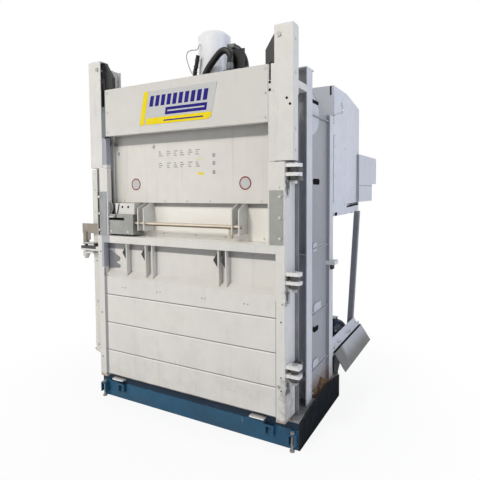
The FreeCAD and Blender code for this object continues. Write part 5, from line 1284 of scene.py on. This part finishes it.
def makeWebSlots(s):
    angles = [math.pi * i / s["steps"] - math.pi / 2 for i in range(s["steps"] + 1)]
    bm = bmesh.new()
    for side in bothSides:
        for y, z, half, radius in s["slots"]:
            outline = [(y + end * (half - radius + radius * math.cos(a)), z + end * radius * math.sin(a))
                       for end in (1, -1) for a in angles]
            addSidePlate(bm, side, s["web"], outline, s["thick"])
    fromBmesh("webSlots", bm, "holeShade", "frame")


makeWebSlots(webSlotForm)

# the dark slot in each upper gusset is painted shade
gussetForm = {
    "web": 0.8132, "thick": 0.004, "lowThick": 0.008, "slotThick": 0.001,
    "outline": [(0.404, 2.370), (0.448, 2.370), (0.600, 2.262), (0.604, 2.171), (0.570, 2.120),
                (0.510, 2.083), (0.404, 2.052)],
    "slot": [(0.445, 2.318), (0.590, 2.318), (0.593, 2.306), (0.585, 2.293), (0.455, 2.293), (0.446, 2.304)],
    "lowPlates": [[(0.471, 1.242), (0.557, 1.242), (0.557, 1.300), (0.500, 1.307), (0.471, 1.290)],
                  [(0.495, 0.788), (0.651, 0.788), (0.651, 0.853), (0.530, 0.861), (0.495, 0.840)],
                  [(0.476, 0.380), (0.586, 0.380), (0.586, 0.440), (0.505, 0.448), (0.476, 0.430)]],
}


def makeGussets(s):
    pale, dark = bmesh.new(), bmesh.new()
    for side in bothSides:
        addSidePlate(pale, side, s["web"], s["outline"], s["thick"])
        addSidePlate(dark, side, s["web"] + s["thick"], s["slot"], s["slotThick"])
        for outline in s["lowPlates"]:
            addSidePlate(pale, side, s["web"], outline, s["lowThick"])
    fromBmesh("columnGussets", pale, "gusset", "frame")
    fromBmesh("gussetSlots", dark, "holeShade", "frame")


makeGussets(gussetForm)

# the louvres are black strips of painted shade
# the hood's side runs straight from bend to end, each given as X and metres behind the front
louvreForm = {"near": 1.400, "far": 2.165, "levels": (1.527, 1.552), "tall": (0.017, 0.006), "thick": 0.0012,
              "bend": (0.810, 1.371), "end": (0.718, 2.177)}


def makeLouvres(s):
    (bendX, bendY), (endX, endY) = s["bend"], s["end"]
    bm = bmesh.new()
    for side in bothSides:
        for z, tall in zip(s["levels"], s["tall"]):
            corners = []
            for y, rise in ((s["near"], 0), (s["far"], 0), (s["far"], tall), (s["near"], tall)):
                x = bendX + (endX - bendX) * (y - bendY) / (endY - bendY)
                corners.append((side * x, fromFront(y), z + rise))
            addPlate(bm, corners, (side, 0, 0), s["thick"])
    fromBmesh("hoodLouvres", bm, "holeShade", "frame")


makeLouvres(louvreForm)

# black wedges beside the door ribs
ribWedgeForm = {"ribs": (-0.335, -0.525, 0.306, 0.366), "reach": 0.036, "shoulder": 0.4, "drop": 0.016,
                  "deep": 0.014, "thick": 0.006, "low": 1.160, "high": 1.262}


def makeRibWedges(s):
    bm = bmesh.new()
    for x in s["ribs"]:
        outline = [(x, s["low"]), (x, s["high"]), (x - s["reach"] * s["shoulder"], s["high"] - s["drop"]),
                   (x - s["reach"], (s["low"] + s["high"]) / 2)]
        addPlate(bm, [(x, fromFront(s["deep"]), z) for x, z in outline], rear, s["thick"])
    fromBmesh("ribWedges", bm, "black", "door")


makeRibWedges(ribWedgeForm)

# the heap leans on the column, falls away outwards and is lumpy
scrapForm = {"low": (0.8145, 0.447), "high": (0.862, 0.800), "cells": (10, 44), "peak": 0.068, "sunk": 0.0005,
             "slope": 1.6, "crest": 0.7, "lumpLow": 0.6, "lumpHigh": 0.8, "lumpScale": (30, 22),
             "lumpSeed": 1.7, "Density": 9000.0, "Smallest": 0.0022, "Largest": 0.0075, "Seed": 5}


def makeScrap(s):
    bm = bmesh.new()
    base = edges("floor_plate")[1].z
    across, along = s["cells"]
    (lowX, lowY), (highX, highY), (scaleX, scaleY) = s["low"], s["high"], s["lumpScale"]
    grid = []
    for j in range(along + 1):
        row = []
        for i in range(across + 1):
            u, v = i / across, j / along
            x = lowX + (highX - lowX) * u
            y = fromFront(lowY + (highY - lowY) * v)
            heap = (1 - u) ** s["slope"] * math.sin(math.pi * v) ** s["crest"]
            lump = s["lumpLow"] + s["lumpHigh"] * noise.noise(Vector((x * scaleX, y * scaleY, s["lumpSeed"])))
            row.append(bm.verts.new((x, y, base + max(s["peak"] * heap * lump, 0))))
        grid.append(row)
    for j in range(along):
        for i in range(across):
            bm.faces.new((grid[j][i], grid[j][i + 1], grid[j + 1][i + 1], grid[j + 1][i]))
    rim = grid[0][:-1] + [row[-1] for row in grid[:-1]] + grid[-1][:0:-1] + [row[0] for row in grid[:0:-1]]
    foot = [bm.verts.new((vert.co.x, vert.co.y, base - s["sunk"])) for vert in rim]
    for i, vert in enumerate(rim):
        j = (i + 1) % len(rim)
        bm.faces.new((vert, foot[i], foot[j], rim[j]))
    bm.faces.new(list(reversed(foot)))
    bmesh.ops.recalc_face_normals(bm, faces=bm.faces)
    mesh = bpy.data.meshes.new("scrapGround")
    bm.to_mesh(mesh)
    bm.free()
    values = {key: s[key] for key in ("Density", "Smallest", "Largest", "Seed")}
    grown("settledScrap", mesh, "scrap", "scrap", "frame", **values)


makeScrap(scrapForm)
print("trim, gussets and scrap ready")
